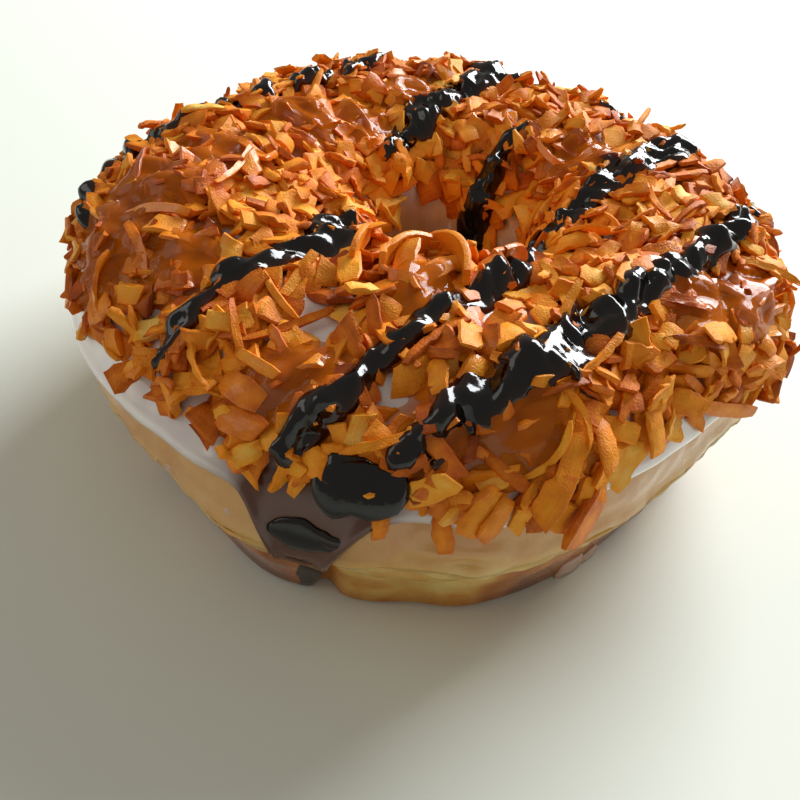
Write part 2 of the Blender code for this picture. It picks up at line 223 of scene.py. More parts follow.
STEP_ROUND = 0.5
COAT_BEARINGS = np.arange(0.0, 360.0, STEP_ROUND)
FIRST_CLIMB = -60
COAT_CLIMBS = np.arange(FIRST_CLIMB, 201.0)
GRID_BEARING, GRID_CLIMB = np.meshgrid(COAT_BEARINGS, COAT_CLIMBS, indexing="ij")
SKIN = dough_point(GRID_BEARING, GRID_CLIMB)
# The icing's tongue in front runs straight over the dough's fold
FOLD_BEARING = -13.5
FOLD_REACH = 9.0
FOLD_TOP = 40.0
FOLD_FADE = 4.0
BRIDGE_WIDTH = 9.0
SKIN_BRIDGED = np.stack([blur(SKIN[..., n], BRIDGE_WIDTH, 0.0) for n in range(3)], axis=-1)
near_fold = bump(turn_between(GRID_BEARING, FOLD_BEARING), FOLD_REACH)
FILL = (SKIN_BRIDGED - SKIN) * (near_fold * below(GRID_CLIMB, FOLD_TOP, FOLD_FADE))[..., None]
BED = SKIN + FILL


def round_difference(field):
    """The change from the place before to the place after, round the ring."""
    return np.roll(field, -1, axis=0) - np.roll(field, 1, axis=0)


NORMALS = unit(np.cross(round_difference(BED), np.gradient(BED, axis=1)))
COAT = BED + NORMALS * (ICING_GAP + ICING_THICKNESS)
ROUND_WAY = round_difference(COAT) / (2 * STEP_ROUND)
UP_WAY = np.gradient(COAT, axis=1)
# Millimetres for each degree of bearing and of climb
SMALLEST_SCALE = 0.08
ROUND_SCALE = np.maximum(np.linalg.norm(ROUND_WAY, axis=-1), SMALLEST_SCALE)
UP_SCALE = np.maximum(np.linalg.norm(UP_WAY, axis=-1), SMALLEST_SCALE)
ROUND_UNIT = unit(ROUND_WAY)
UP_UNIT = unit(UP_WAY)
heap = np.zeros(GRID_BEARING.shape)


def cell(bearing, climb):
    """Grid indices nearest these bearings and climbs."""
    row = np.round(np.asarray(bearing) / STEP_ROUND).astype(int) % len(COAT_BEARINGS)
    column = np.round(np.asarray(climb) - FIRST_CLIMB).astype(int)
    return row, np.clip(column, 0, len(COAT_CLIMBS) - 1)


def read(field, bearing, climb):
    """A field between its grid points."""
    x = (np.asarray(bearing) / STEP_ROUND) % len(COAT_BEARINGS)
    y = np.clip(np.asarray(climb) - FIRST_CLIMB, 0, len(COAT_CLIMBS) - 1.001)
    i, j = np.floor(x).astype(int), np.floor(y).astype(int)
    fx, fy = x - i, y - j
    i = i % len(COAT_BEARINGS)
    k = (i + 1) % len(COAT_BEARINGS)
    if field.ndim == 3:
        fx, fy = fx[..., None], fy[..., None]
    low = field[i, j] * (1 - fx) + field[k, j] * fx
    high = field[i, j + 1] * (1 - fx) + field[k, j + 1] * fx
    return low * (1 - fy) + high * fy


# Camera geometry, used to seat pieces under pixels of the photograph

FORWARD = np.array([0.0, math.cos(CAMERA_RISE), -math.sin(CAMERA_RISE)])
UPWARD = np.array([0.0, math.sin(CAMERA_RISE), math.cos(CAMERA_RISE)])
RIGHTWARD = np.array([1.0, 0.0, 0.0])
CAMERA_PLACE = LOOK_AT - FORWARD * CAMERA_DISTANCE


def pixels_of(points):
    ray = points - CAMERA_PLACE
    depth = ray @ FORWARD
    across = FOCAL_PIXELS * (ray @ RIGHTWARD) / depth
    down = -FOCAL_PIXELS * (ray @ UPWARD) / depth
    c, s = math.cos(CAMERA_ROLL), math.sin(CAMERA_ROLL)
    half = IMAGE_SIZE / 2
    return np.stack([half + c * across - s * down, half + s * across + c * down], axis=-1)


OUT_OF_REACH = 1e6
TOPPING_LIFT = 1.6
# Pixels that a millimetre further from the camera counts for, in the choice of a seat
DEPTH_WEIGHT = 0.12
EDGE_RUN_OUT = 25.0


def seats_at(lift):
    """Pixels of the coat raised by a lift, with what faces away from the camera put out of reach."""
    raised = COAT + NORMALS * lift
    seen = np.einsum("ijk,ijk->ij", NORMALS, CAMERA_PLACE - raised) > 0
    spots = pixels_of(raised)
    spots[~seen] = OUT_OF_REACH
    return spots


TOPPING_SPOTS = seats_at(TOPPING_LIFT)
ICING_SPOTS = seats_at(0.0)


def under_pixel(pixel, spots=TOPPING_SPOTS):
    """The bearing and climb of the coat under a pixel of the photograph."""
    gaps = np.hypot(spots[..., 0] - pixel[0], spots[..., 1] - pixel[1])
    # The far wall of the hole can show through the near rim, so the nearer of equal fits wins.
    depth = (COAT - CAMERA_PLACE) @ FORWARD
    row, column = np.unravel_index(np.argmin(gaps + DEPTH_WEIGHT * depth), gaps.shape)
    return COAT_BEARINGS[row], COAT_CLIMBS[column]


def edge_line(pixels, back):
    """The climb of an edge for every coat bearing, from its pixels in front and a level behind."""
    found = [under_pixel(p, ICING_SPOTS) for p in pixels]
    turns = np.array([turn_between(b, 0.0) for b, _ in found])
    climbs = np.array([c for _, c in found])
    order = np.argsort(turns)
    turns, climbs = turns[order], climbs[order]
    start, end = turns[0] - EDGE_RUN_OUT, turns[-1] + EDGE_RUN_OUT
    turns = np.concatenate([[-180.0, start], turns, [end, 180.0]])
    climbs = np.concatenate([[back, back], climbs, [back, back]])
    return np.interp(turn_between(COAT_BEARINGS, 0.0), turns, climbs)


def soften(line, width):
    """A line round the ring, smoothed over this many degrees."""
    return blur(np.repeat(line[:, None], 2, axis=1), width / STEP_ROUND, 0.0)[:, 0]


ICING_EDGE_WAVER = 1.6
ICING_EDGE = soften(edge_line(ICING_EDGE_PIXELS, BACK_ICING_EDGE), 2.4)
ICING_EDGE += ICING_EDGE_WAVER * ripple(COAT_BEARINGS, 11, (9, 15, 23, 37))
FLAKE_EDGE = soften(edge_line(FLAKE_EDGE_PIXELS, BACK_FLAKE_EDGE), 1.5)

# Meshes


def new_piece(name, mesh, material):
    piece = bpy.data.objects.new(name, mesh)
    bpy.context.scene.collection.objects.link(piece)
    mesh.materials.append(material)
    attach(piece, "root")
    return piece


def build_mesh(name, points, faces, colours=None, grain=None, sharp=None):
    """A smooth-shaded mesh from points in millimetres, with a colour and a grain direction per point."""
    mesh = bpy.data.meshes.new(name)
    mesh.from_pydata((np.asarray(points) * MM).tolist(), [], faces)
    mesh.shade_smooth()
    if sharp is not None:
        mesh.set_sharp_from_angle(angle=math.radians(sharp))
    if colours is not None:
        layer = mesh.attributes.new("tint", "FLOAT_COLOR", "POINT")
        layer.data.foreach_set("color", np.asarray(colours, np.float32).ravel())
    if grain is not None:
        layer = mesh.attributes.new("grain", "FLOAT_VECTOR", "POINT")
        layer.data.foreach_set("vector", np.asarray(grain, np.float32).ravel())
    return mesh


def grid_faces(rows, columns, closed_rows, closed_columns, first=0):
    """Quads of a grid of points whose index is row * columns + column."""
    row = np.arange(rows if closed_rows else rows - 1)
    column = np.arange(columns if closed_columns else columns - 1)
    r, c = np.meshgrid(row, column, indexing="ij")
    r_next, c_next = (r + 1) % rows, (c + 1) % columns
    quads = [r * columns + c, r_next * columns + c, r_next * columns + c_next, r * columns + c_next]
    return (np.stack(quads, axis=-1).reshape(-1, 4) + first).tolist()


def painted(red, green=1.0, blue=1.0):
    """Tint colours for an array of points, from its three values."""
    return np.stack(np.broadcast_arrays(red, green, blue, 1.0), axis=-1)


class Heap:
    """Tubes gathered into one mesh: each is a row of rings, closed by its two end rings."""

    def __init__(self):
        self.points, self.colours, self.grain, self.faces = [], [], [], []
        self.count = 0

    def add(self, rings, colours, grain=None):
        rows, columns = rings.shape[:2]
        self.points.append(rings.reshape(-1, 3))
        self.colours.append(colours.reshape(-1, 4))
        self.grain.append(np.zeros((rows * columns, 3)) if grain is None else grain.reshape(-1, 3))
        self.faces += grid_faces(rows, columns, False, True, self.count)
        last = self.count + (rows - 1) * columns
        self.faces.append(list(range(self.count, self.count + columns)))
        self.faces.append(list(range(last + columns - 1, last - 1, -1)))
        self.count += rows * columns

    def piece(self, name, material, sharp):
        points, colours, grain = (np.concatenate(v) for v in (self.points, self.colours, self.grain))
        mesh = build_mesh(name, points, self.faces, colours, grain, sharp)
        return new_piece(name, mesh, material)


def curve_through(values, spacing):
    """Values read from a smooth curve through rows of values, whose first two are metric offsets."""
    values = np.asarray(values, float)
    padded = np.concatenate([[2 * values[0] - values[1]], values, [2 * values[-1] - values[-2]]])
    out = []
    for a, b, c, d in zip(padded[:-3], padded[1:-2], padded[2:-1], padded[3:]):
        steps = max(2, int(np.linalg.norm((c - b)[:3]) / spacing))
        for t in np.arange(steps) / steps:
            cubic = 2 * b + (c - a) * t + (2 * a - 5 * b + 4 * c - d) * t**2
            cubic += (3 * b - a - 3 * c + d) * t**3
            out.append(0.5 * cubic)
    out.append(values[-1])
    return np.array(out)


# Materials


def linear(red, green, blue):
    """A colour as read from the photograph, 0 to 255, as the shader takes it."""
    share = np.array([red, green, blue]) / 255.0
    low, high = share / 12.92, ((share + 0.055) / 1.055) ** 2.4
    return tuple(float(v) for v in np.where(share <= 0.04045, low, high))


class Nodes:
    """Short calls that add nodes to a new material."""

    def __init__(self, name, roughness):
        self.material = bpy.data.materials.new(name)
        self.material.use_nodes = True
        self.tree = self.material.node_tree
        self.shader = self.tree.nodes["Principled BSDF"]
        self.set("Roughness", roughness)

    def set(self, socket, value):
        if isinstance(value, bpy.types.NodeSocket):
            self.tree.links.new(value, self.shader.inputs[socket])
        elif isinstance(value, tuple):
            self.shader.inputs[socket].default_value = (*value, 1.0)
        else:
            self.shader.inputs[socket].default_value = value

    def add(self, kind, **values):
        node = self.tree.nodes.new(kind)
        for name, value in values.items():
            setattr(node, name, value)
        return node

    def place(self):
        return self.add("ShaderNodeTexCoord").outputs["Object"]

    def stretched(self, source, scale):
        node = self.add("ShaderNodeMapping")
        self.tree.links.new(source, node.inputs["Vector"])
        node.inputs["Scale"].default_value = scale
        return node.outputs["Vector"]

    def noise(self, scale, detail=3.0, source=None):
        node = self.add("ShaderNodeTexNoise")
        self.tree.links.new(source or self.place(), node.inputs["Vector"])
        node.inputs["Scale"].default_value = scale
        node.inputs["Detail"].default_value = detail
        return node.outputs["Fac"]

    def ramp(self, factor, stops):
        node = self.add("ShaderNodeValToRGB")
        self.tree.links.new(factor, node.inputs["Fac"])
        elements = node.color_ramp.elements
        while len(elements) < len(stops):
            elements.new(0.5)
        for element, (position, colour) in zip(elements, stops):
            element.position = position
            element.color = (*colour, 1.0)
        return node.outputs["Color"]

    def share(self, value, to_low, to_high):
        """A value from 0 to 1 spread between two others."""
        return self.range(value, 0.0, 1.0, to_low, to_high)

    def range(self, value, low, high, to_low, to_high):
        node = self.add("ShaderNodeMapRange")
        self.tree.links.new(value, node.inputs["Value"])
        sockets = ("From Min", "From Max", "To Min", "To Max")
        for name, number in zip(sockets, (low, high, to_low, to_high)):
            node.inputs[name].default_value = number
        return node.outputs["Result"]

    def mix(self, factor, first, second, blend="MIX"):
        node = self.add("ShaderNodeMix", data_type="RGBA", blend_type=blend)
        colour_sockets = [s for s in node.inputs if s.type == "RGBA"]
        for socket, value in zip([node.inputs[0], *colour_sockets], (factor, first, second)):
            if isinstance(value, bpy.types.NodeSocket):
                self.tree.links.new(value, socket)
            else:
                socket.default_value = (*value, 1.0) if isinstance(value, tuple) else value
        return [s for s in node.outputs if s.type == "RGBA"][0]

    def math(self, operation, first, second):
        node = self.add("ShaderNodeMath", operation=operation)
        for socket, value in zip(node.inputs, (first, second)):
            if isinstance(value, bpy.types.NodeSocket):
                self.tree.links.new(value, socket)
            else:
                socket.default_value = value
        return node.outputs["Value"]

    def tint(self):
        """The piece's three painted values: red, green and blue of its tint."""
        node = self.add("ShaderNodeAttribute", attribute_name="tint")
        parts = self.add("ShaderNodeSeparateColor")
        self.tree.links.new(node.outputs["Color"], parts.inputs["Color"])
        return [parts.outputs[n] for n in ("Red", "Green", "Blue")]

    def grain(self):
        return self.add("ShaderNodeAttribute", attribute_name="grain").outputs["Vector"]

    def bump(self, height, strength, distance):
        node = self.add("ShaderNodeBump")
        node.inputs["Strength"].default_value = strength
        node.inputs["Distance"].default_value = distance * MM
        self.tree.links.new(height, node.inputs["Height"])
        self.tree.links.new(node.outputs["Normal"], self.shader.inputs["Normal"])


def dough_material():
    """Tint: red is brownness, green is where the clear glaze lies, blue is where it has set milky."""
    nodes = Nodes("fried_dough", 0.45)
    brown, glaze, milky = nodes.tint()
    blotch = nodes.range(nodes.noise(260.0, 4.0), 0.3, 0.7, -0.2, 0.2)
    shade = nodes.math("ADD", brown, blotch)
    stops = (
        (0.0, linear(228, 196, 120)),
        (0.25, linear(218, 170, 86)),
        (0.5, linear(202, 132, 50)),
        (0.75, linear(178, 98, 26)),
        (1.0, linear(132, 64, 14)),
    )
    dough = nodes.ramp(shade, stops)
    nodes.set("Base Color", nodes.mix(nodes.share(milky, 0.0, 0.75), dough, linear(212, 158, 104)))
    nodes.set("Specular IOR Level", 0.35)
    nodes.set("Roughness", nodes.share(glaze, 0.5, 0.2))
    nodes.set("Subsurface Weight", 0.15)
    nodes.shader.inputs["Subsurface Radius"].default_value = (3.0, 1.6, 0.8)
    nodes.set("Subsurface Scale", 1.0 * MM)
    nodes.set("Coat Weight", nodes.share(glaze, 0.1, 0.6))
    nodes.set("Coat Roughness", 0.14)
    nodes.bump(nodes.noise(900.0, 5.0), 0.35, 0.25)
    return nodes.material


# The strength of a stain from which the icing is as dark as it gets
FULL_STAIN = 0.6


def icing_material():
    """Tint: red is how far chocolate has stained the icing, green is thinness, blue is painted shade
    deep in the hole.
    """
    nodes = Nodes("white_icing", 0.22)
    stain, thin, painted_hole_shade = nodes.tint()
    cloud = nodes.range(nodes.noise(170.0), 0.35, 0.65, 0.0, 1.0)
    white = nodes.mix(cloud, linear(238, 230, 224), linear(226, 216, 216))
    edged = nodes.mix(thin, white, linear(226, 212, 198))
    # Painted shade: the icing deep in the hole is mixed toward a warm brown, the colour it takes in
    # shade there.
    darkened = nodes.mix(painted_hole_shade, edged, linear(176, 124, 58))
    stained = nodes.range(stain, 0.0, FULL_STAIN, 0.0, 0.98)
    nodes.set("Base Color", nodes.mix(stained, darkened, linear(84, 40, 14)))
    nodes.set("Subsurface Weight", 0.25)
    nodes.shader.inputs["Subsurface Radius"].default_value = (2.2, 1.8, 1.6)
    nodes.set("Subsurface Scale", 0.8 * MM)
    nodes.set("Coat Weight", nodes.range(stain, 0.0, FULL_STAIN, 0.8, 0.3))
    nodes.set("Coat Roughness", 0.06)
    nodes.bump(nodes.noise(420.0, 2.0), 0.3, 0.2)
    return nodes.material


def coconut_material():
    """Tint: red is how light the flake is, green is nearness to its edge, blue is how wet it is."""
    nodes = Nodes("toasted_coconut", 0.45)
    light, edge, wet = nodes.tint()
    fibres = nodes.noise(1.0, 3.0, nodes.stretched(nodes.grain(), (0.35, 3.2, 1.0)))
    mottle = nodes.noise(0.45, 3.0, nodes.stretched(nodes.grain(), (1.0, 1.0, 1.0)))
    streak = nodes.range(fibres, 0.25, 0.75, -0.05, 0.05)
    patch = nodes.range(mottle, 0.3, 0.7, -0.12, 0.12)
    level = nodes.math("ADD", nodes.math("ADD", light, streak), patch)
    toast = nodes.math("SUBTRACT", level, nodes.share(edge, 0.0, 0.16))
    stops = (
        (0.0, linear(150, 68, 6)),
        (0.25, linear(208, 106, 10)),
        (0.5, linear(242, 148, 26)),
        (0.75, linear(250, 174, 52)),
        (1.0, linear(254, 210, 110)),
    )
    dry = nodes.ramp(toast, stops)
    darkened = nodes.mix(1.0, dry, linear(244, 204, 120), "MULTIPLY")
    nodes.set("Base Color", nodes.mix(nodes.share(wet, 0.0, 0.85), dry, darkened))
    nodes.set("Specular IOR Level", 0.22)
    nodes.set("Roughness", nodes.share(wet, 0.6, 0.22))
    nodes.set("Coat Weight", nodes.range(wet, 0.25, 1.0, 0.0, 0.7))
    nodes.set("Coat Roughness", 0.08)
    nodes.set("Subsurface Weight", 0.1)
    nodes.shader.inputs["Subsurface Radius"].default_value = (1.2, 0.5, 0.1)
    nodes.set("Subsurface Scale", 0.6 * MM)
    grit = nodes.noise(4200.0, 2.0)
    nodes.bump(nodes.math("ADD", nodes.math("MULTIPLY", fibres, 0.35), grit), 0.8, 0.16)
    return nodes.material


def caramel_material():
    nodes = Nodes("caramel", 0.07)
    depth = nodes.tint()[0]
    nodes.set("Base Color", nodes.mix(depth, linear(230, 132, 2), linear(184, 90, 0)))
    nodes.set("Alpha", nodes.share(depth, 0.25, 0.66))
    nodes.set("Specular IOR Level", 0.22)
    nodes.bump(nodes.noise(500.0, 2.0), 0.25, 0.15)
    return nodes.material


def chocolate_material():
    """Tint: red is thinness, where the chocolate lets a red-brown through."""
    nodes = Nodes("dark_chocolate", 0.1)
    thin = nodes.tint()[0]
    nodes.set("Base Color", nodes.mix(thin, linear(12, 8, 8), linear(78, 32, 12)))
    nodes.set("Specular IOR Level", 0.42)
    nodes.set("Coat Weight", 0.12)
    nodes.set("Coat Roughness", 0.04)
    nodes.bump(nodes.noise(650.0, 2.0), 0.35, 0.25)
    return nodes.material


def glaze_material():
    nodes = Nodes("clear_glaze", 0.08)
    stain = nodes.tint()[0]
    nodes.set("Base Color", nodes.mix(stain, linear(230, 192, 172), linear(40, 22, 18)))
    nodes.set("Alpha", nodes.share(stain, 0.72, 0.85))
    nodes.set("Coat Weight", 0.4)
    nodes.set("Coat Roughness", 0.04)
    return nodes.material


def floor_material():
    nodes = Nodes("pale_floor", 0.8)
    nodes.set("Base Color", linear(226, 229, 219))
    return nodes.material


# Dough

FINE_COLUMNS = 900
# The climbs where the dough leaves the floor, outside and in the hole
SIDE_START = -59.2
SIDE_END = 239.0
SIDE_FADE = 8.0
FOOT_CLIMBS = (246.0, 258.0, 270.0, 282.0, 294.0)
# From the first climb to the second the icing hides the dough, and from there the hole is dark.
HIDDEN_CLIMBS = (62.0, 152.0)
HOLE_FOOT = 236.0
UPPER_EDGE = 5.2


def dough_rows(climbs):
    """The rows of a section that the mesh keeps: every one that shows, and fewer of the rest."""
    order = np.arange(len(climbs))
    first, last = HIDDEN_CLIMBS
    under_icing = (climbs < last) & (order % 3 == 0)
    in_hole = (climbs >= last) & (order % 2 == 0)
    return np.flatnonzero((climbs < first) | (climbs > HOLE_FOOT) | under_icing | in_hole)


def add_dough():
    """The whole ring, browned below the crease and pale above it."""
    bearings = np.arange(FINE_COLUMNS) * 360.0 / FINE_COLUMNS
    climbs = np.concatenate([np.arange(SIDE_START, SIDE_END, 2.0), FOOT_CLIMBS])
    b, c = np.meshgrid(bearings, climbs, indexing="ij")
    points = dough_point(b, c)
    normals = dough_normal(b, np.clip(c, -58.0, 238.0))
    # Heights over the crease, and the pale, torn, pitted band where the two fried halves meet
    height = points[..., 2] - crease_line(b)
    fine = smooth_noise(b.shape, 3.0, 0.8, SEED + 1)
    broad = smooth_noise(b.shape, 12.0, 2.5, SEED + 2)
    patchy = smooth_noise(b.shape, 22.0, 3.0, SEED + 5)
    band = bump(height - 2.0 - 0.7 * broad, 3.3)
    crust = below(height, 2.2 * patchy + 0.6 * broad + 0.5 * fine - 2.9, 0.7)
    upper = 1.0 - below(height, UPPER_EDGE + 0.5 * broad, 0.8)
    low = np.clip((4.0 - points[..., 2]) / 4.0, 0, 1)
    brown = 0.24 + 0.4 * crust - 0.16 * band + 0.07 * broad * (1 - crust)
    brown = brown + 0.14 * low + 0.1 * crust * broad
    # Long low wrinkles in the torn band, as dough shows where it has stretched
    wrinkle = smooth_noise(b.shape, 14.0, 0.7, SEED + 6)
    on_side = np.clip((c - SIDE_START) / SIDE_FADE, 0, 1) * np.clip((SIDE_END - c) / SIDE_FADE, 0, 1)
    relief = 0.15 * fine * (0.4 + band) + 0.25 * broad * (0.3 + 0.5 * crust) + 0.3 * wrinkle * band
    ledge = 0.75 * np.tanh(height / 0.4) * bump(height, 2.0)
    ledge += 0.55 * bump(height - UPPER_EDGE - 0.6 * broad, 1.0)
    moved = points + normals * ((relief + ledge) * on_side)[..., None]
    moved[..., 2] = np.maximum(moved[..., 2], 0.0)
    glaze = np.clip(0.55 + 0.35 * broad, 0, 1) * (0.4 + 0.6 * (1 - low))
    colours = painted(np.clip(brown, 0, 1), glaze, np.clip(upper, 0, 1))
    kept = dough_rows(climbs)
    moved, colours = moved[:, kept], colours[:, kept]
    faces = grid_faces(len(bearings), len(kept), True, True)
    mesh = build_mesh("dough_crumb", moved.reshape(-1, 3), faces, colours.reshape(-1, 4))
    piece = new_piece("dough_body", mesh, dough_material())
    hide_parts("dough")


# Icing

# Chocolate stains: pixel, radius in millimetres and strength
STAINS = (
    *(((300, 545), 9.5, 1.0), ((338, 542), 6.0, 0.95), ((268, 506), 5.5, 0.9), ((350, 508), 5.0, 0.9)),
    *(((304, 533), 6.0, 1.0), ((180, 350), 4.0, 0.2), ((430, 520), 2.5, 0.12), ((250, 484), 3.5, 0.35)),
)
# Painted shade in the hole: it starts at this climb and grows over this many degrees.
HOLE_SHADE_START = 138.0
HOLE_SHADE_RUN = 22.0
ICING_ROWS = 150
# Above 1, rows crowd together at the lower rim, where the bead turns under.
RIM_CROWDING = 1.35
CLIMB_LENGTH = 0.31
RIM_ROUNDING = 1.3
SKIN_DEPTH = 0.15
BEAD_HEIGHT = 0.38
BEAD_FROM_RIM = 1.5
BEAD_WIDTH = 1.1
# Every row near the rim, half of the rest, and a fifth of the skin that is never seen
RIM_ROWS = 60
ORDER = np.arange(ICING_ROWS)
OUTER_ROWS = np.flatnonzero((ORDER < RIM_ROWS) | (ORDER % 2 == 1))
INNER_ROWS = np.flatnonzero((ORDER == 0) | (ORDER % 5 == 4))[::-1]


def spread(place, radius):
    """A soft round patch on the coat: 1 at a pixel's place, fading over a radius in millimetres."""
    row, column = cell(*under_pixel(place))
    gap = np.linalg.norm(COAT - COAT[row, column], axis=-1)
    return bump(gap, radius)


def field_of(places):
    """Soft patches on the coat, each with a strength of 1 unless a third value gives it."""
    total = np.zeros(GRID_BEARING.shape)
    for place, radius, *given in places:
        strength = given[0] if given else 1.0
        total = np.maximum(total, strength * spread(place, radius))
    return total


def add_icing():
    """The coat with its rounded, beaded rim, closed by an inner skin against the dough."""
    edge = ICING_EDGE[:, None]
    share = np.linspace(0.0, 1.0, ICING_ROWS)[None, :] ** RIM_CROWDING
    hole_edge = ICING_HOLE_EDGE + 3.0 * ripple(COAT_BEARINGS, 13, (2, 3, 5))[:, None]
    climbs = edge + (hole_edge - edge) * share
    b = np.repeat(COAT_BEARINGS[:, None], ICING_ROWS, axis=1)
    from_rim = (climbs - edge) * CLIMB_LENGTH
    from_hole = (climbs[:, -1:] - climbs) * CLIMB_LENGTH
    near = np.minimum(from_rim, from_hole)
    rounded = np.sqrt(np.clip(1 - (1 - np.clip(near / RIM_ROUNDING, 0, 1)) ** 2, 0, 1))
    uneven = smooth_noise(b.shape, 8.0, 6.0, SEED + 3)
    bead = BEAD_HEIGHT * bump(from_rim - BEAD_FROM_RIM, BEAD_WIDTH)
    bead = bead * (1 + 0.4 * ripple(b, 21, (11, 19, 31)))
    thickness = ICING_GAP + ICING_THICKNESS * rounded + bead + 0.07 * uneven
    base = dough_point(b, climbs) + read(FILL, b, climbs)
    normals = unit(read(NORMALS, b, climbs))
    outer = base + normals * thickness[..., None]
    inner = base - normals * SKIN_DEPTH
    rings = np.concatenate([outer[:, OUTER_ROWS], inner[:, INNER_ROWS]], axis=1)
    # Painted shade: the icing turns a warmer brown the deeper it lies in the hole.
    shade = np.clip((climbs - HOLE_SHADE_START) / HOLE_SHADE_RUN, 0, 1)
    painted_hole_shade = np.clip(0.85 * shade * (1 + 0.15 * uneven), 0, 1)
    thin = np.clip(1.2 - near / 0.9, 0, 1) * 0.7
    outside = painted(read(field_of(STAINS), b, climbs), thin, painted_hole_shade)
    colours = np.concatenate([outside[:, OUTER_ROWS], outside[:, INNER_ROWS]], axis=1)
    faces = grid_faces(len(COAT_BEARINGS), rings.shape[1], True, True)
    mesh = build_mesh("icing_coat", rings.reshape(-1, 3), faces, colours.reshape(-1, 4))
    piece = new_piece("icing_coat", mesh, icing_material())
    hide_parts("iced_topping")


# Coconut

BARE_PLACES = (
    *(((205, 238), 2.0), ((302, 296), 1.9), ((318, 322), 1.6), ((250, 330), 1.7), ((270, 375), 1.7)),
    *(((245, 400), 2.2), ((395, 385), 2.5), ((484, 466), 2.8), ((600, 240), 2.1), ((640, 215), 2.0)),
    *(((545, 400), 1.6), ((690, 400), 2.8), ((425, 212), 3.2), ((505, 218), 2.4), ((640, 440), 3.2)),
)
CARAMEL_PLACES = (
    *(((120, 215), 7.5), ((150, 185), 7.0), ((105, 265), 5.5), ((185, 255), 5.0), ((215, 150), 6.0)),
    *(((300, 120), 6.0), ((410, 90), 5.0), ((580, 160), 5.5), ((690, 290), 5.5), ((745, 300), 5.5)),
    *(((430, 295), 5.0), ((300, 375), 5.0), ((520, 415), 5.5), ((440, 435), 4.5), ((365, 120), 5.0)),
)
BARE = field_of(BARE_PLACES)
CARAMEL = field_of(CARAMEL_PLACES)
dampness = smooth_noise(GRID_BEARING.shape, 9.0, 9.0, SEED + 4)
WETNESS = np.clip(0.14 + 0.85 * CARAMEL + 0.16 * dampness, 0, 1)

# A flake's section: places across its width and levels across its thickness
RING_SIDES = np.array([-0.86, 0.0, 0.86, 1.0, 0.86, 0.0, -0.86, -1.0])
RING_LEVELS = np.array([0.5, 0.56, 0.5, 0.0, -0.5, -0.56, -0.5, 0.0])
CURVE_STEPS = 40
RAGGEDNESS = 0.065
UNEVENNESS = 0.07
PILE_LIMIT = 4.4
FLOOR_CLEARANCE = 0.3
# How much of the heap's slope a flake takes
FOLLOWING = 0.85
# A flake raises the heap under this share of its width, and over this many grid steps at most.
RAISED_WIDTH = 0.45
MOST_STEPS = 60
# How far the flakes may stand outside the solid model's box
OUTSIDE = np.array([1.5, 1.5, 0.4])
NEAREST = np.array(cad_box[0]) / MM - OUTSIDE
FURTHEST = np.array(cad_box[1]) / MM + OUTSIDE


def slope_along(ground, offsets, limit):
    """The slope of the ground in the direction of these offsets, kept within a limit."""
    centred = offsets - offsets.mean()
    return np.clip((ground * centred).sum() / max((centred**2).sum(), 1e-6), -limit, limit)


def flake_form(rng, length, width, shape):
    """A flake before it is laid, as offsets ahead, to the side and up, for each ring and corner.

    It also gives the offsets across the flake's width, and how near each corner is to its edge.
    """
    stations = shape.get("stations", 8)
    bend, sweep = math.radians(shape.get("bend", 15.0)), math.radians(shape.get("sweep", 0.0))
    along = np.linspace(-0.5, 0.5, stations)
    fine = np.linspace(-0.5, 0.5, CURVE_STEPS + 1)
    rise_angle, side_angle = -bend * fine, sweep * fine
    level_step = np.cos(rise_angle)
    steps = (level_step * np.cos(side_angle), level_step * np.sin(side_angle), np.sin(rise_angle))
    curve = [np.concatenate([[0], np.cumsum(v)[:-1]]) * (length / CURVE_STEPS) for v in steps]
    x, y, z = (np.interp(along, fine, v - v[CURVE_STEPS // 2])[:, None] for v in curve)
    turned = np.interp(along, fine, side_angle)[:, None]
    pitch = np.interp(along, fine, rise_angle)[:, None]
    # Ragged edges, and ends that are cut or torn at a slant
    ragged = 1.0 + RAGGEDNESS * rng.normal(size=(2, stations))
    from_middle = np.abs(2 * along)
    taper = 1.0 - (1.0 - shape.get("ends", 0.72)) * from_middle**4
    slant = rng.uniform(-0.5, 0.5, 2)
    left, right = 0.5 * width * taper * ragged
    side = RING_SIDES[None, :]
    offset = side * np.where(side < 0, left[:, None], right[:, None])
    cut = np.where(along < 0, slant[0], slant[1])[:, None] * from_middle[:, None] ** 3
    thickness = shape.get("thickness", 0.5) * (0.75 + 0.5 * rng.uniform(size=(stations, 1)))
    level = RING_LEVELS[None, :] * thickness
    level += UNEVENNESS * rng.normal(size=level.shape)
    level[[0, -1]] *= 0.6
    cup = shape.get("cup", 0.0) * (offset / width) ** 2 * width
    twist = math.radians(shape.get("twist", 0.0)) * along[:, None]
    ahead = x + offset * cut - offset * np.sin(turned) - level * np.sin(pitch)
    beside = y + offset * np.cos(turned)
    up = z + level * np.cos(pitch) + cup + offset * np.sin(twist)
    rim = np.maximum(np.abs(side) ** 3, from_middle[:, None] ** 6)
    return (ahead, beside, up), offset, rim


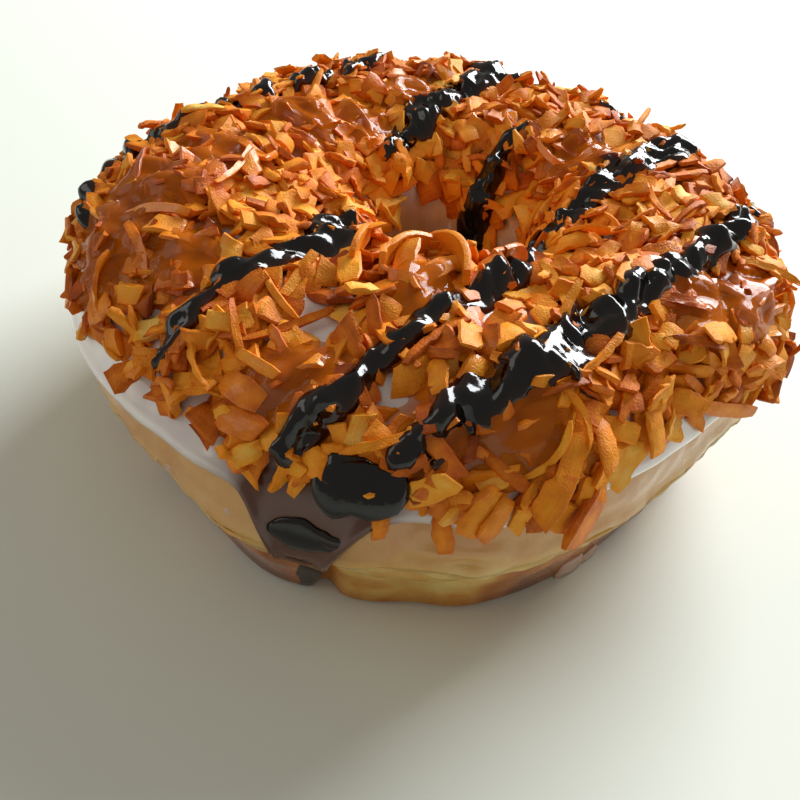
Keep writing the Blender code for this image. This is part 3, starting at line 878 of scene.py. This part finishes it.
def raise_heap(row, column, axes, flake, roll, length, width):
    """Raises the heap to the top of a flake, given along its three axes, that lies over a cell."""
    reach = 0.5 * length + 1.0
    span_b = int(min(reach / ROUND_SCALE[row, column] / STEP_ROUND, MOST_STEPS)) + 1
    span_c = int(min(reach / UP_SCALE[row, column], MOST_STEPS)) + 1
    rows = np.arange(row - span_b, row + span_b + 1) % len(COAT_BEARINGS)
    columns = np.clip(np.arange(column - span_c, column + span_c + 1), 0, len(COAT_CLIMBS) - 1)
    window = np.ix_(rows, columns)
    patch = COAT[window] - COAT[row, column]
    x, y, z = (patch @ axis for axis in axes)
    ahead, beside, up = flake[0].mean(axis=1), flake[1].mean(axis=1), flake[2][:, :3].mean(axis=1)
    order = np.argsort(ahead)
    top = np.interp(x, ahead[order], up[order]) + roll * y
    middle = np.interp(x, ahead[order], beside[order])
    inside = (x > ahead.min()) & (x < ahead.max()) & (np.abs(y - middle) < RAISED_WIDTH * width)
    heap[window] = np.maximum(heap[window], np.where(inside, np.minimum(top - z, PILE_LIMIT), 0.0))


def lay_flake(target, rng, bearing, climb, heading, length, width, **shape):
    """Lays one flake on the heap under it, adds its mesh, and raises the heap where it lies.

    The flake bends along its length by `bend` degrees, curves sideways by `sweep`, is dished by
    `cup`, and rises by the slope `lean`. `sink` is the share of the heap's highest places that it
    cuts into, and `light` is its toasting.
    """
    (lx, ly, lz), offset, rim = flake_form(rng, length, width, shape)
    # The frame at the flake's middle
    row, column = cell(bearing, climb)
    origin, out = COAT[row, column], NORMALS[row, column]
    round_unit, up_unit = ROUND_UNIT[row, column], UP_UNIT[row, column]
    angle = math.radians(heading)
    ahead = round_unit * math.cos(angle) + up_unit * math.sin(angle)
    ahead = unit(ahead - out * (ahead @ out))
    beside = np.cross(out, ahead)
    per_ahead, per_beside = ((way @ round_unit) / ROUND_SCALE[row, column] for way in (ahead, beside))
    at_b = bearing + lx * per_ahead + ly * per_beside
    per_ahead, per_beside = ((way @ up_unit) / UP_SCALE[row, column] for way in (ahead, beside))
    at_c = climb + lx * per_ahead + ly * per_beside
    r, c = cell(at_b, at_c)
    ground = ((COAT[r, c] + NORMALS[r, c] * heap[r, c][..., None]) - origin) @ out
    # The slope of the heap under the flake, and the flake's own lean on top of it
    slope = slope_along(ground, lx, 0.7) * FOLLOWING + shape.get("lean", 0.0)
    roll = slope_along(ground, ly, 0.6) * FOLLOWING + shape.get("roll", 0.0)
    tilt, tip = math.atan(slope), math.atan(roll)
    rx = lx * math.cos(tilt) - lz * math.sin(tilt)
    rz = lx * math.sin(tilt) + lz * math.cos(tilt)
    ry = ly * math.cos(tip) - rz * math.sin(tip)
    rz = ly * math.sin(tip) + rz * math.cos(tip)
    rz = rz + np.quantile(ground - rz, 1.0 - shape.get("sink", 0.15))
    points = origin + rx[..., None] * ahead + ry[..., None] * beside + rz[..., None] * out
    points[..., 2] = np.maximum(points[..., 2], FLOOR_CLEARANCE)
    too_far = np.maximum(points.max(axis=(0, 1)) - FURTHEST, 0)
    too_near = np.maximum(NEAREST - points.min(axis=(0, 1)), 0)
    points = points - (too_far - too_near)
    raise_heap(row, column, (ahead, beside, out), (rx, ry, rz), roll, length, width)
    wet = shape.get("wet", float(WETNESS[row, column]))
    along = np.linspace(-0.5, 0.5, len(lx))[:, None] * length
    grain = np.stack(np.broadcast_arrays(along, offset, 0.0), axis=-1) + rng.uniform(0, 100, 3)
    target.add(points, painted(shape.get("light", 0.5), rim, wet), grain)


# Steps that fill a square evenly, one for each of its sides
EVEN_STEPS = (0.7548776662, 0.5698402910)
LOWEST_FLAKE = 10.0
FLAKED_COLUMNS = slice(60, 230)
BARENESS = 1.25


def bulk_places(count, first_climb, rng):
    """Places spread evenly over the coat between the flakes' edges, by a low-discrepancy rule."""
    largest = ROUND_SCALE[:, FLAKED_COLUMNS].max()
    found = []
    tried = 0
    while len(found) < count:
        tried += 1
        bearing = 360.0 * ((tried * EVEN_STEPS[0] + 0.1 * first_climb) % 1.0)
        climb = LOWEST_FLAKE + (FLAKE_HOLE_EDGE - LOWEST_FLAKE) * ((tried * EVEN_STEPS[1]) % 1.0)
        row, column = cell(bearing, climb)
        if rng.uniform() > ROUND_SCALE[row, column] / largest:
            continue
        if climb < FLAKE_EDGE[row] + first_climb:
            continue
        if rng.uniform() < BARE[row, column] * BARENESS:
            continue
        found.append((bearing, climb))
    return found


def add_bulk(target, rng, count, lengths, widths, inset, **shape):
    """Flakes of one kind laid at random headings, the largest first."""
    for n, (bearing, climb) in enumerate(bulk_places(count, inset, rng)):
        size = 1.0 - n / count
        length = lengths[0] + (lengths[1] - lengths[0]) * (0.65 * size + 0.35 * rng.uniform())
        width = widths[0] + (widths[1] - widths[0]) * rng.uniform()
        light = float(np.clip(rng.normal(0.54, 0.17), 0.08, 0.98))
        settings = dict(
            bend=rng.normal(12.0, shape["bend"]),
            sweep=rng.normal(0.0, shape["sweep"]),
            twist=rng.normal(0.0, shape["twist"]),
            cup=rng.normal(0.25, 0.35),
            lean=rng.normal(0.0, shape["lean"]),
            roll=rng.normal(0.0, shape["lean"]),
            sink=shape["sink"],
            thickness=rng.uniform(*shape["thickness"]),
            ends=rng.uniform(*shape["ends"]),
            stations=shape["stations"],
            light=light,
        )
        lay_flake(target, rng, bearing, climb, rng.uniform(0, 360), length, width, **settings)


# Flakes that stand out in the photograph: both ends' pixels, width, bend, lean, toasting, wetness,
# and what else is special about the flake
LARGE_FLAKES = (
    ((352, 232), (378, 262), 2.8, 25.0, 0.5, 0.6, 0.4),
    ((350, 256), (352, 296), 2.9, 5.0, 0.15, 0.68, 0.3),
    ((582, 400), (545, 522), 2.9, 18.0, 0.2, 0.6, 0.25, dict(ends=0.5, stations=14)),
    ((590, 415), (602, 470), 2.6, 40.0, 0.35, 0.56, 0.3),
    ((612, 488), (556, 545), 4.2, 10.0, 0.35, 0.42, 0.3, dict(thickness=1.1)),
    ((497, 488), (462, 535), 3.4, 8.0, 0.2, 0.62, 0.3),
    ((512, 500), (480, 545), 2.6, 12.0, 0.2, 0.5, 0.3),
    ((402, 508), (446, 474), 3.2, 8.0, 0.15, 0.78, 0.2),
    ((376, 512), (378, 548), 1.9, 10.0, 0.1, 0.5, 0.3),
    ((438, 520), (442, 560), 2.2, 15.0, 0.15, 0.5, 0.3),
    ((222, 414), (268, 434), 3.1, 22.0, 0.2, 0.46, 0.5),
    ((222, 375), (266, 402), 3.0, 60.0, 0.3, 0.5, 0.6),
    ((234, 352), (282, 382), 1.4, 40.0, 0.3, 0.6, 0.4),
    ((105, 224), (200, 208), 1.3, 25.0, 0.1, 0.66, 0.8, dict(sweep=-50.0, stations=16)),
    ((650, 408), (658, 455), 2.9, 14.0, 0.25, 0.6, 0.2, dict(ends=0.9)),
    ((700, 408), (752, 412), 2.0, 10.0, 0.1, 0.5, 0.3),
    ((676, 398), (700, 410), 3.0, 10.0, 0.3, 0.56, 0.2),
    ((462, 122), (468, 152), 2.8, 12.0, 0.4, 0.6, 0.3),
    ((560, 470), (532, 520), 3.0, 16.0, 0.25, 0.5, 0.2),
    ((640, 268), (612, 300), 3.0, 12.0, 0.3, 0.62, 0.2),
    ((730, 330), (688, 342), 2.8, 12.0, 0.25, 0.66, 0.2),
    ((472, 322), (462, 362), 3.0, 15.0, 0.3, 0.62, 0.3),
    ((430, 362), (440, 400), 2.2, 15.0, 0.3, 0.55, 0.3),
    ((168, 112), (134, 116), 1.3, 50.0, 0.7, 0.5, 0.3, dict(stations=12)),
    ((296, 66), (276, 52), 4.0, 10.0, 0.7, 0.56, 0.2),
    ((376, 62), (366, 44), 1.6, 30.0, 0.8, 0.4, 0.3),
    ((556, 88), (540, 64), 1.8, 25.0, 0.8, 0.56, 0.3),
    ((572, 98), (576, 78), 1.8, 10.0, 0.7, 0.6, 0.3),
    ((700, 160), (712, 140), 2.4, 20.0, 0.6, 0.5, 0.3),
    ((752, 215), (762, 192), 2.2, 30.0, 0.6, 0.45, 0.3),
    ((420, 290), (446, 276), 2.8, 20.0, 0.3, 0.6, 0.6),
    ((474, 292), (496, 276), 3.2, 20.0, 0.5, 0.55, 0.5),
    ((392, 286), (412, 270), 3.0, 20.0, 0.5, 0.6, 0.5),
)


def lay_between(target, rng, first, last, width, shape):
    """Lays a flake whose ends are seen at two pixels."""
    b0, c0 = under_pixel(first)
    b1, c1 = under_pixel(last)
    middle_b = b0 + 0.5 * turn_between(b1, b0)
    middle_c = 0.5 * (c0 + c1)
    start, end = COAT[cell(b0, c0)], COAT[cell(b1, c1)]
    row, column = cell(middle_b, middle_c)
    span = end - start
    heading = math.degrees(math.atan2(span @ UP_UNIT[row, column], span @ ROUND_UNIT[row, column]))
    length = float(np.linalg.norm(span)) * (1.0 + 0.0012 * abs(shape.get("bend", 0.0)))
    lay_flake(target, rng, middle_b, middle_c, heading, length, width, **shape)


# Ribbons that stand on edge: pixels along the foot, height, thickness, toasting and wetness
ARCH_FOOT = ((380, 280), (384, 270), (402, 264), (430, 266), (452, 270), (463, 277), (466, 288))
STANDING_FLAKES = (
    (ARCH_FOOT, 3.9, 0.8, 0.66, 0.5),
    (((484, 278), (492, 273), (503, 270), (514, 264)), 3.6, 0.7, 0.5, 0.6),
    (((350, 272), (355, 262), (364, 252)), 3.0, 0.7, 0.6, 0.3),
)
RIBBON_LEVELS = np.array([0.0, 0.5, 0.96, 1.0, 0.96, 0.5, 0.0, -0.04])
RIBBON_SIDES = np.array([-0.5, -0.5, -0.5, 0.0, 0.5, 0.5, 0.5, 0.0])
RIBBON_STAND = np.array([0.0, -0.25, 1.0])
RIBBON_STEP = 0.7


def stand_flake(target, pixels, height, thickness, light, wet):
    """A ribbon of coconut on edge along a curve over the heap."""
    cells = [cell(*under_pixel(p)) for p in pixels]
    feet = [COAT[spot] + NORMALS[spot] * heap[spot] * 0.75 for spot in cells]
    route = curve_through(feet, RIBBON_STEP)
    ahead = unit(np.gradient(route, axis=0))
    up = unit(RIBBON_STAND - ahead * (ahead @ RIBBON_STAND)[:, None])
    side = np.cross(ahead, up)
    share = np.linspace(-1, 1, len(route))[:, None]
    rise = height * (1 - 0.35 * np.abs(share) ** 3) * RIBBON_LEVELS
    out = (RIBBON_SIDES * thickness)[:, None]
    rings = route[:, None] + rise[..., None] * up[:, None] + out * side[:, None]
    rim = np.abs(2 * RIBBON_LEVELS - 1) ** 6 + 0 * share
    run = share * len(route) * 0.5 * RIBBON_STEP
    grain = np.stack(np.broadcast_arrays(run, RIBBON_LEVELS * height, 0.0), axis=-1)
    target.add(rings, painted(light, rim, wet), grain)


# How each kind varies: the spread of its bends and lean, the share sunk in the heap, its thickness
# and how wide its ends are
CHIP = dict(
    bend=24.0, sweep=7.0, twist=22.0, lean=0.34, sink=0.34, thickness=(0.6, 1.0), ends=(0.82, 1.05)
)
SLIVER = dict(
    bend=32.0, sweep=22.0, twist=35.0, lean=0.34, sink=0.3, thickness=(0.45, 0.7), ends=(0.4, 0.9)
)
SHRED = dict(
    bend=40.0, sweep=45.0, twist=60.0, lean=0.22, sink=0.25, thickness=(0.4, 0.6), ends=(0.3, 0.7)
)
# Loose flakes: name, count, lengths, widths, climb over the flakes' edge, variety, rings for each
LOOSE_FLAKES = (
    ("coconut_chips", 980, (3.8, 7.2), (2.5, 4.1), 2.0, CHIP, 8),
    ("coconut_slivers", 260, (4.0, 8.0), (1.2, 2.0), 1.0, SLIVER, 8),
    ("coconut_small_chips", 640, (2.2, 4.8), (1.9, 3.2), 1.0, CHIP, 6),
    ("coconut_shreds", 70, (7.0, 12.0), (0.8, 1.3), 4.0, SHRED, 13),
)
FLAKE_PIECES = (
    "coconut_chips",
    "coconut_small_chips",
    "coconut_slivers",
    "coconut_shreds",
    "coconut_large_flakes",
)
SHARP_ANGLE = 50.0


def add_coconut():
    """All flakes but those at the chocolate's edges: the loose ones first, the large ones on top."""
    material = coconut_material()
    rng = np.random.default_rng(SEED + 10)
    kinds = {}
    for name, count, lengths, widths, inset, variety, stations in LOOSE_FLAKES:
        kinds[name] = Heap()
        add_bulk(kinds[name], rng, count, lengths, widths, inset, stations=stations, **variety)
    large = Heap()
    kinds["coconut_large_flakes"] = large
    for first, last, width, bend, lean, light, wet, *special in LARGE_FLAKES:
        shape = dict(bend=bend, lean=lean, light=light, wet=wet)
        if special:
            shape.update(special[0])
        lay_between(large, rng, first, last, width, shape)
    for ribbon in STANDING_FLAKES:
        stand_flake(large, *ribbon)
    for name in FLAKE_PIECES:
        piece = kinds[name].piece(name, material, SHARP_ANGLE)


# Caramel

CARAMEL_RISE = 1.65
CARAMEL_DIP = 1.05
CARAMEL_EDGE = 0.22
CARAMEL_DEPTH = 0.4


def add_caramel():
    """A film that fills the heap's gaps where caramel was poured, and dips under the flakes round it."""
    film = blur(heap, 2.1, 2.5) + CARAMEL_RISE * np.clip(CARAMEL * 1.4, 0, 1) - CARAMEL_DIP
    surface = COAT + NORMALS * film[..., None]
    under = COAT - NORMALS * CARAMEL_DEPTH
    inside = (CARAMEL > CARAMEL_EDGE) & (film > -CARAMEL_DEPTH)
    pairs = inside & np.roll(inside, -1, axis=0)
    rows, columns = np.nonzero(pairs[:, :-1] & pairs[:, 1:])
    width = len(COAT_CLIMBS)
    near = rows * width + columns
    far = (rows + 1) % len(COAT_BEARINGS) * width + columns
    used, index = np.unique(np.stack([near, far, far + 1, near + 1], axis=-1), return_inverse=True)
    quads = index.reshape(-1, 4)
    points = np.concatenate([field.reshape(-1, 3)[used] for field in (surface, under)])
    depth = np.tile(np.clip(CARAMEL * 1.3, 0, 1).reshape(-1)[used], 2)
    count = len(used)
    ends = {tuple(e) for n in range(4) for e in quads[:, [n, (n + 1) % 4]].tolist()}
    walls = [[b, a, a + count, b + count] for a, b in ends if (b, a) not in ends]
    faces = quads.tolist() + (quads[:, ::-1] + count).tolist() + walls
    mesh = build_mesh("caramel", points, faces, painted(depth))
    piece = new_piece("caramel", mesh, caramel_material())


# Chocolate: the pixels along each run, with its width there in millimetres

CHOCOLATE_RUNS = (
    (
        *((90, 230, 3.0), (97, 198, 3.4), (112, 174, 3.2), (140, 152, 2.8), (166, 139, 2.8)),
        *((195, 126, 2.6), (235, 110, 1.9), (270, 98, 2.6), (300, 88, 2.4)),
        *((335, 77, 1.6), (385, 62, 2.8)),
    ),
    (
        *((158, 372, 1.6), (185, 325, 2.2), (207, 300, 2.2), (235, 276, 3.2), (262, 262, 3.0)),
        *((292, 247, 3.6), (322, 238, 5.4), (348, 226, 3.2)),
    ),
    (
        *((372, 162, 1.6), (395, 142, 2.8), (422, 118, 4.6), (445, 100, 4.4), (470, 86, 2.8)),
        *((495, 79, 5.4), (522, 75, 3.4)),
    ),
    (
        *((528, 128, 2.2), (508, 148, 2.6), (492, 172, 2.4), (482, 192, 2.8), (476, 208, 3.6)),
        *((473, 226, 4.2), (471, 243, 4.2), (470, 254, 3.8)),
    ),
    (
        *((276, 470, 3.2), (290, 446, 3.4), (310, 420, 3.2), (338, 394, 3.2), (366, 370, 2.2)),
        *((392, 345, 2.6), (420, 322, 3.2), (450, 305, 2.6), (482, 290, 2.8), (512, 272, 3.4)),
        *((542, 254, 3.0), (568, 234, 2.8), (590, 212, 2.2), (612, 190, 3.4), (640, 168, 6.0)),
        *((672, 152, 5.4), (700, 148, 2.2)),
    ),
    (
        *((384, 470, 2.6), (402, 455, 3.6), (430, 436, 4.2), (465, 410, 4.4), (500, 390, 4.4)),
        *((538, 366, 5.2), (570, 345, 5.6), (602, 322, 4.6), (636, 300, 3.6), (672, 278, 2.4)),
        *((702, 258, 2.8), (726, 240, 2.8), (745, 220, 2.2), (755, 200, 1.6)),
    ),
    ((552, 362, 1.8), (562, 376, 1.6), (568, 392, 1.2)),
    ((600, 98, 1.2), (626, 98, 2.0), (634, 108, 1.2)),
    ((340, 62, 1.0), (352, 70, 2.0), (366, 66, 1.2)),
)
CHOCOLATE_STEP = 0.35
CHOCOLATE_SPREAD = 1.3
CHOCOLATE_CROSS = 15
CHOCOLATE_WOBBLE = 0.2
# The ground is followed this far below the heap's top, and the dome rises over that.
CHOCOLATE_SINK = 0.3
CHOCOLATE_FOOT = 1.1
# Half a width from which a run is as thick as it gets
CHOCOLATE_FULL = 1.4
UNDER_CORNERS = [12, 7, 2]


def nearest_seat(points):
    """Bearings and climbs of the coat nearest to points close above it, each near the one before."""
    found = []
    rows, columns = np.arange(len(COAT_BEARINGS)), np.arange(len(COAT_CLIMBS))
    nearby = np.arange(-12, 13)
    for point in points:
        gaps = np.linalg.norm(COAT[np.ix_(rows, columns)] - point, axis=-1)
        i, j = np.unravel_index(np.argmin(gaps), gaps.shape)
        row, column = rows[i], columns[j]
        found.append((COAT_BEARINGS[row], COAT_CLIMBS[column]))
        rows = (row + nearby) % len(COAT_BEARINGS)
        columns = np.clip(column + nearby, 0, len(COAT_CLIMBS) - 1)
    return np.array(found)


def run_line(run):
    """A run's bearings, climbs and widths at even steps, smoothed along the way."""
    seats = [cell(*under_pixel((x, y))) for x, y, _ in run]
    widths = [width for _, _, width in run]
    route = curve_through([(*COAT[s], w) for s, w in zip(seats, widths)], CHOCOLATE_STEP)
    places = nearest_seat(route[:, :3])
    turns = np.degrees(np.unwrap(np.radians(places[:, 0])))
    padded = [np.pad(v, 2, mode="edge") for v in (turns, places[:, 1])]
    bearings, climbs = (np.convolve(v, np.ones(5) / 5, mode="valid") for v in padded)
    return bearings, climbs, route[:, 3]


def drape_run(target, rng, smooth, bearings, climbs, widths):
    """Adds one ribbon, raises the heap under it, and gives the places along its edges."""
    count = len(bearings)
    ahead = unit(np.gradient(read(COAT, bearings, climbs), axis=0))
    side = unit(np.cross(unit(read(NORMALS, bearings, climbs)), ahead))
    share = np.linspace(-1.0, 1.0, count)
    rounding = np.sqrt(np.clip(1 - np.abs(share) ** (2 + count / 12), 0, 1))
    wobble = blur(rng.normal(size=(count, 2)), 3.0, 0.0)
    wobble /= max(wobble.std(), 1e-6)
    wide = 0.5 * CHOCOLATE_SPREAD * widths * rounding
    uneven = wide[:, None] * np.clip(1 + CHOCOLATE_WOBBLE * wobble, 0.5, 1.6)
    across = np.linspace(-1.0, 1.0, CHOCOLATE_CROSS)[None, :]
    offset = np.where(across < 0, uneven[:, :1], uneven[:, 1:]) * across
    r, c = cell(bearings, climbs)
    per_b = (side * ROUND_UNIT[r, c]).sum(axis=-1) / ROUND_SCALE[r, c]
    per_c = (side * UP_UNIT[r, c]).sum(axis=-1) / UP_SCALE[r, c]
    b = bearings[:, None] + offset * per_b[:, None]
    c = climbs[:, None] + offset * per_c[:, None]
    ground = read(smooth, b, c)
    dome = np.clip(1 - across**2, 0, 1) ** 0.55
    full = np.clip(wide / CHOCOLATE_FULL, 0.25, 1.0)[:, None]
    level = ground - CHOCOLATE_SINK + (0.35 + 0.95 * full) * dome
    foot, out = read(COAT, b, c), unit(read(NORMALS, b, c))
    top = foot + out * level[..., None]
    under = foot + out * (ground - CHOCOLATE_FOOT)[..., None]
    rings = np.concatenate([top, under[:, UNDER_CORNERS]], axis=1)
    thin = np.clip(np.abs(across) ** 4 + 0.35 * (1 - full), 0, 1)
    thin = np.concatenate([thin, np.ones((count, len(UNDER_CORNERS)))], axis=1)
    target.add(rings, painted(thin))
    inner = slice(2, CHOCOLATE_CROSS - 2)
    window = cell(b[:, inner], c[:, inner])
    heap[window] = np.maximum(heap[window], level[:, inner])
    return [*zip(b[:, 0], c[:, 0]), *zip(b[:, -1], c[:, -1])]


def add_chocolate():
    """Ribbons of chocolate draped over the heap, thick in the middle and thin at their edges.

    It gives the places along the ribbons' edges.
    """
    smooth = blur(heap, 1.1, 1.3) + 0.16 * smooth_noise(heap.shape, 1.6, 2.0, SEED + 8)
    edges = []
    target = Heap()
    rng = np.random.default_rng(SEED + 20)
    for run in CHOCOLATE_RUNS:
        edges += drape_run(target, rng, smooth, *run_line(run))
    piece = target.piece("chocolate_drizzle", chocolate_material(), None)
    return edges


def add_edge_chips(edges, count):
    """Small flakes stuck in the edges of the chocolate."""
    rng = np.random.default_rng(SEED + 30)
    target = Heap()
    for n in rng.choice(len(edges), count, replace=False):
        bearing, climb = edges[n]
        bearing += rng.normal(0.0, 0.8)
        climb += rng.normal(0.0, 1.6)
        shape = dict(
            bend=rng.normal(10.0, 22.0),
            lean=rng.normal(0.0, 0.35),
            roll=rng.normal(0.0, 0.3),
            sink=0.55,
            thickness=rng.uniform(0.5, 0.8),
            ends=rng.uniform(0.6, 1.0),
            light=float(np.clip(rng.normal(0.5, 0.16), 0.1, 0.95)),
            stations=7,
        )
        length, width = rng.uniform(2.4, 5.2), rng.uniform(1.3, 2.8)
        lay_flake(target, rng, bearing, climb, rng.uniform(0, 360), length, width, **shape)
    piece = target.piece("coconut_edge_chips", bpy.data.materials["toasted_coconut"], SHARP_ANGLE)


# What has run down: pixel, half-sizes, thickness, stain and height over the icing's top

GLAZE_DROPS = (
    ((570, 574), 2.5, 3.6, 0.7, 0.0, -1.6),
    ((590, 562), 2.0, 2.2, 0.5, 0.0, -1.6),
    ((304, 570), 2.3, 2.6, 0.4, 1.0, -1.55),
    ((700, 470), 1.4, 0.8, 0.4, 0.0, -1.7),
    ((640, 512), 1.6, 1.8, 0.35, 0.0, -1.7),
    ((170, 470), 1.4, 2.2, 0.3, 0.0, -1.7),
    ((228, 520), 1.6, 2.0, 0.3, 0.0, -1.7),
)
CHOCOLATE_DROPS = (
    ((304, 537), 4.3, 2.1, 0.5, 0.0, 0.05),
    ((324, 541), 2.2, 1.2, 0.45, 0.1, 0.05),
    ((356, 488), 4.9, 3.2, 0.85, 0.0, 1.9),
    ((342, 481), 2.6, 2.0, 0.8, 0.0, 1.9),
)


def add_drops(name, drops, material):
    """Flattened drops on the icing or the dough."""
    target = Heap()
    turns = np.linspace(0, 2 * math.pi, 16, endpoint=False)
    latitude, turn = np.meshgrid(np.linspace(-0.98, 0.98, 13), turns, indexing="ij")
    flat = np.sqrt(1 - latitude**2)
    for pixel, half_wide, half_tall, thickness, stain, lift in drops:
        bearing, climb = under_pixel(pixel, seats_at(lift))
        row, column = cell(bearing, climb)
        uneven = 1 + 0.14 * np.sin(4.0 * latitude + pixel[0]) + 0.07 * np.sin(9.0 * latitude + turn)
        up, out = flat * np.sin(turn) * half_tall * uneven, flat * np.cos(turn) * thickness
        b = bearing + latitude * half_wide / ROUND_SCALE[row, column]
        c = climb + up / UP_SCALE[row, column]
        rings = read(COAT + NORMALS * lift, b, c) + read(NORMALS, b, c) * out[..., None]
        rings[..., 2] = np.maximum(rings[..., 2], 0.02)
        target.add(rings, painted(np.full(latitude.shape, stain)))
    piece = target.piece(name, material, None)


# Floor, light and camera


FLOOR_HALF = 2.5
FLOOR_GAP = 0.05 * MM


def add_floor():
    signs = ((-1, -1), (1, -1), (1, 1), (-1, 1))
    mesh = bpy.data.meshes.new("floor")
    mesh.from_pydata([(FLOOR_HALF * x, FLOOR_HALF * y, 0) for x, y in signs], [], [(0, 1, 2, 3)])
    mesh.materials.append(floor_material())
    floor = bpy.data.objects.new("floor", mesh)
    floor.location.z = -FLOOR_GAP
    bpy.context.scene.collection.objects.link(floor)


LIGHTS_AIM = Vector((0.0, 0.0, 0.02))


def add_area_light(name, place, size, power, colour):
    data = bpy.data.lights.new(name, "AREA")
    data.shape = "RECTANGLE"
    data.size, data.size_y = size
    data.energy = power
    data.color = colour
    light = bpy.data.objects.new(name, data)
    light.location = place
    light.rotation_euler = (LIGHTS_AIM - Vector(place)).to_track_quat("-Z", "Y").to_euler()
    bpy.context.scene.collection.objects.link(light)


def add_lights():
    add_area_light("window", (0.40, 0.57, 0.42), (0.55, 0.42), 13.2, (0.93, 0.97, 1.0))
    add_area_light("side_fill", (-0.75, -0.05, 0.5), (0.5, 0.5), 1.15, (1.0, 0.98, 0.93))
    world = bpy.data.worlds.new("room")
    world.use_nodes = True
    background = world.node_tree.nodes["Background"]
    background.inputs["Color"].default_value = (1.0, 0.96, 0.86, 1.0)
    background.inputs["Strength"].default_value = 0.29
    bpy.context.scene.world = world


def add_camera():
    data = bpy.data.cameras.new("camera")
    data.sensor_width = SENSOR
    data.lens = SENSOR * FOCAL_PIXELS / IMAGE_SIZE
    data.clip_start = 0.005
    camera = bpy.data.objects.new("camera", data)
    c, s = math.cos(CAMERA_ROLL), math.sin(CAMERA_ROLL)
    right = Vector(c * RIGHTWARD + s * UPWARD)
    up = Vector(c * UPWARD - s * RIGHTWARD)
    back = Vector(-FORWARD)
    turn = Matrix((right, up, back)).transposed().to_4x4()
    camera.matrix_world = Matrix.Translation(Vector(CAMERA_PLACE * MM)) @ turn
    bpy.context.scene.collection.objects.link(camera)
    bpy.context.scene.camera = camera


add_dough()
add_icing()
add_coconut()
add_caramel()
add_edge_chips(add_chocolate(), 90)
add_drops("glaze_drops", GLAZE_DROPS, glaze_material())
add_drops("chocolate_drops", CHOCOLATE_DROPS, bpy.data.materials["dark_chocolate"])
add_floor()
add_lights()
add_camera()
bpy.context.scene.view_settings.view_transform = "Standard"
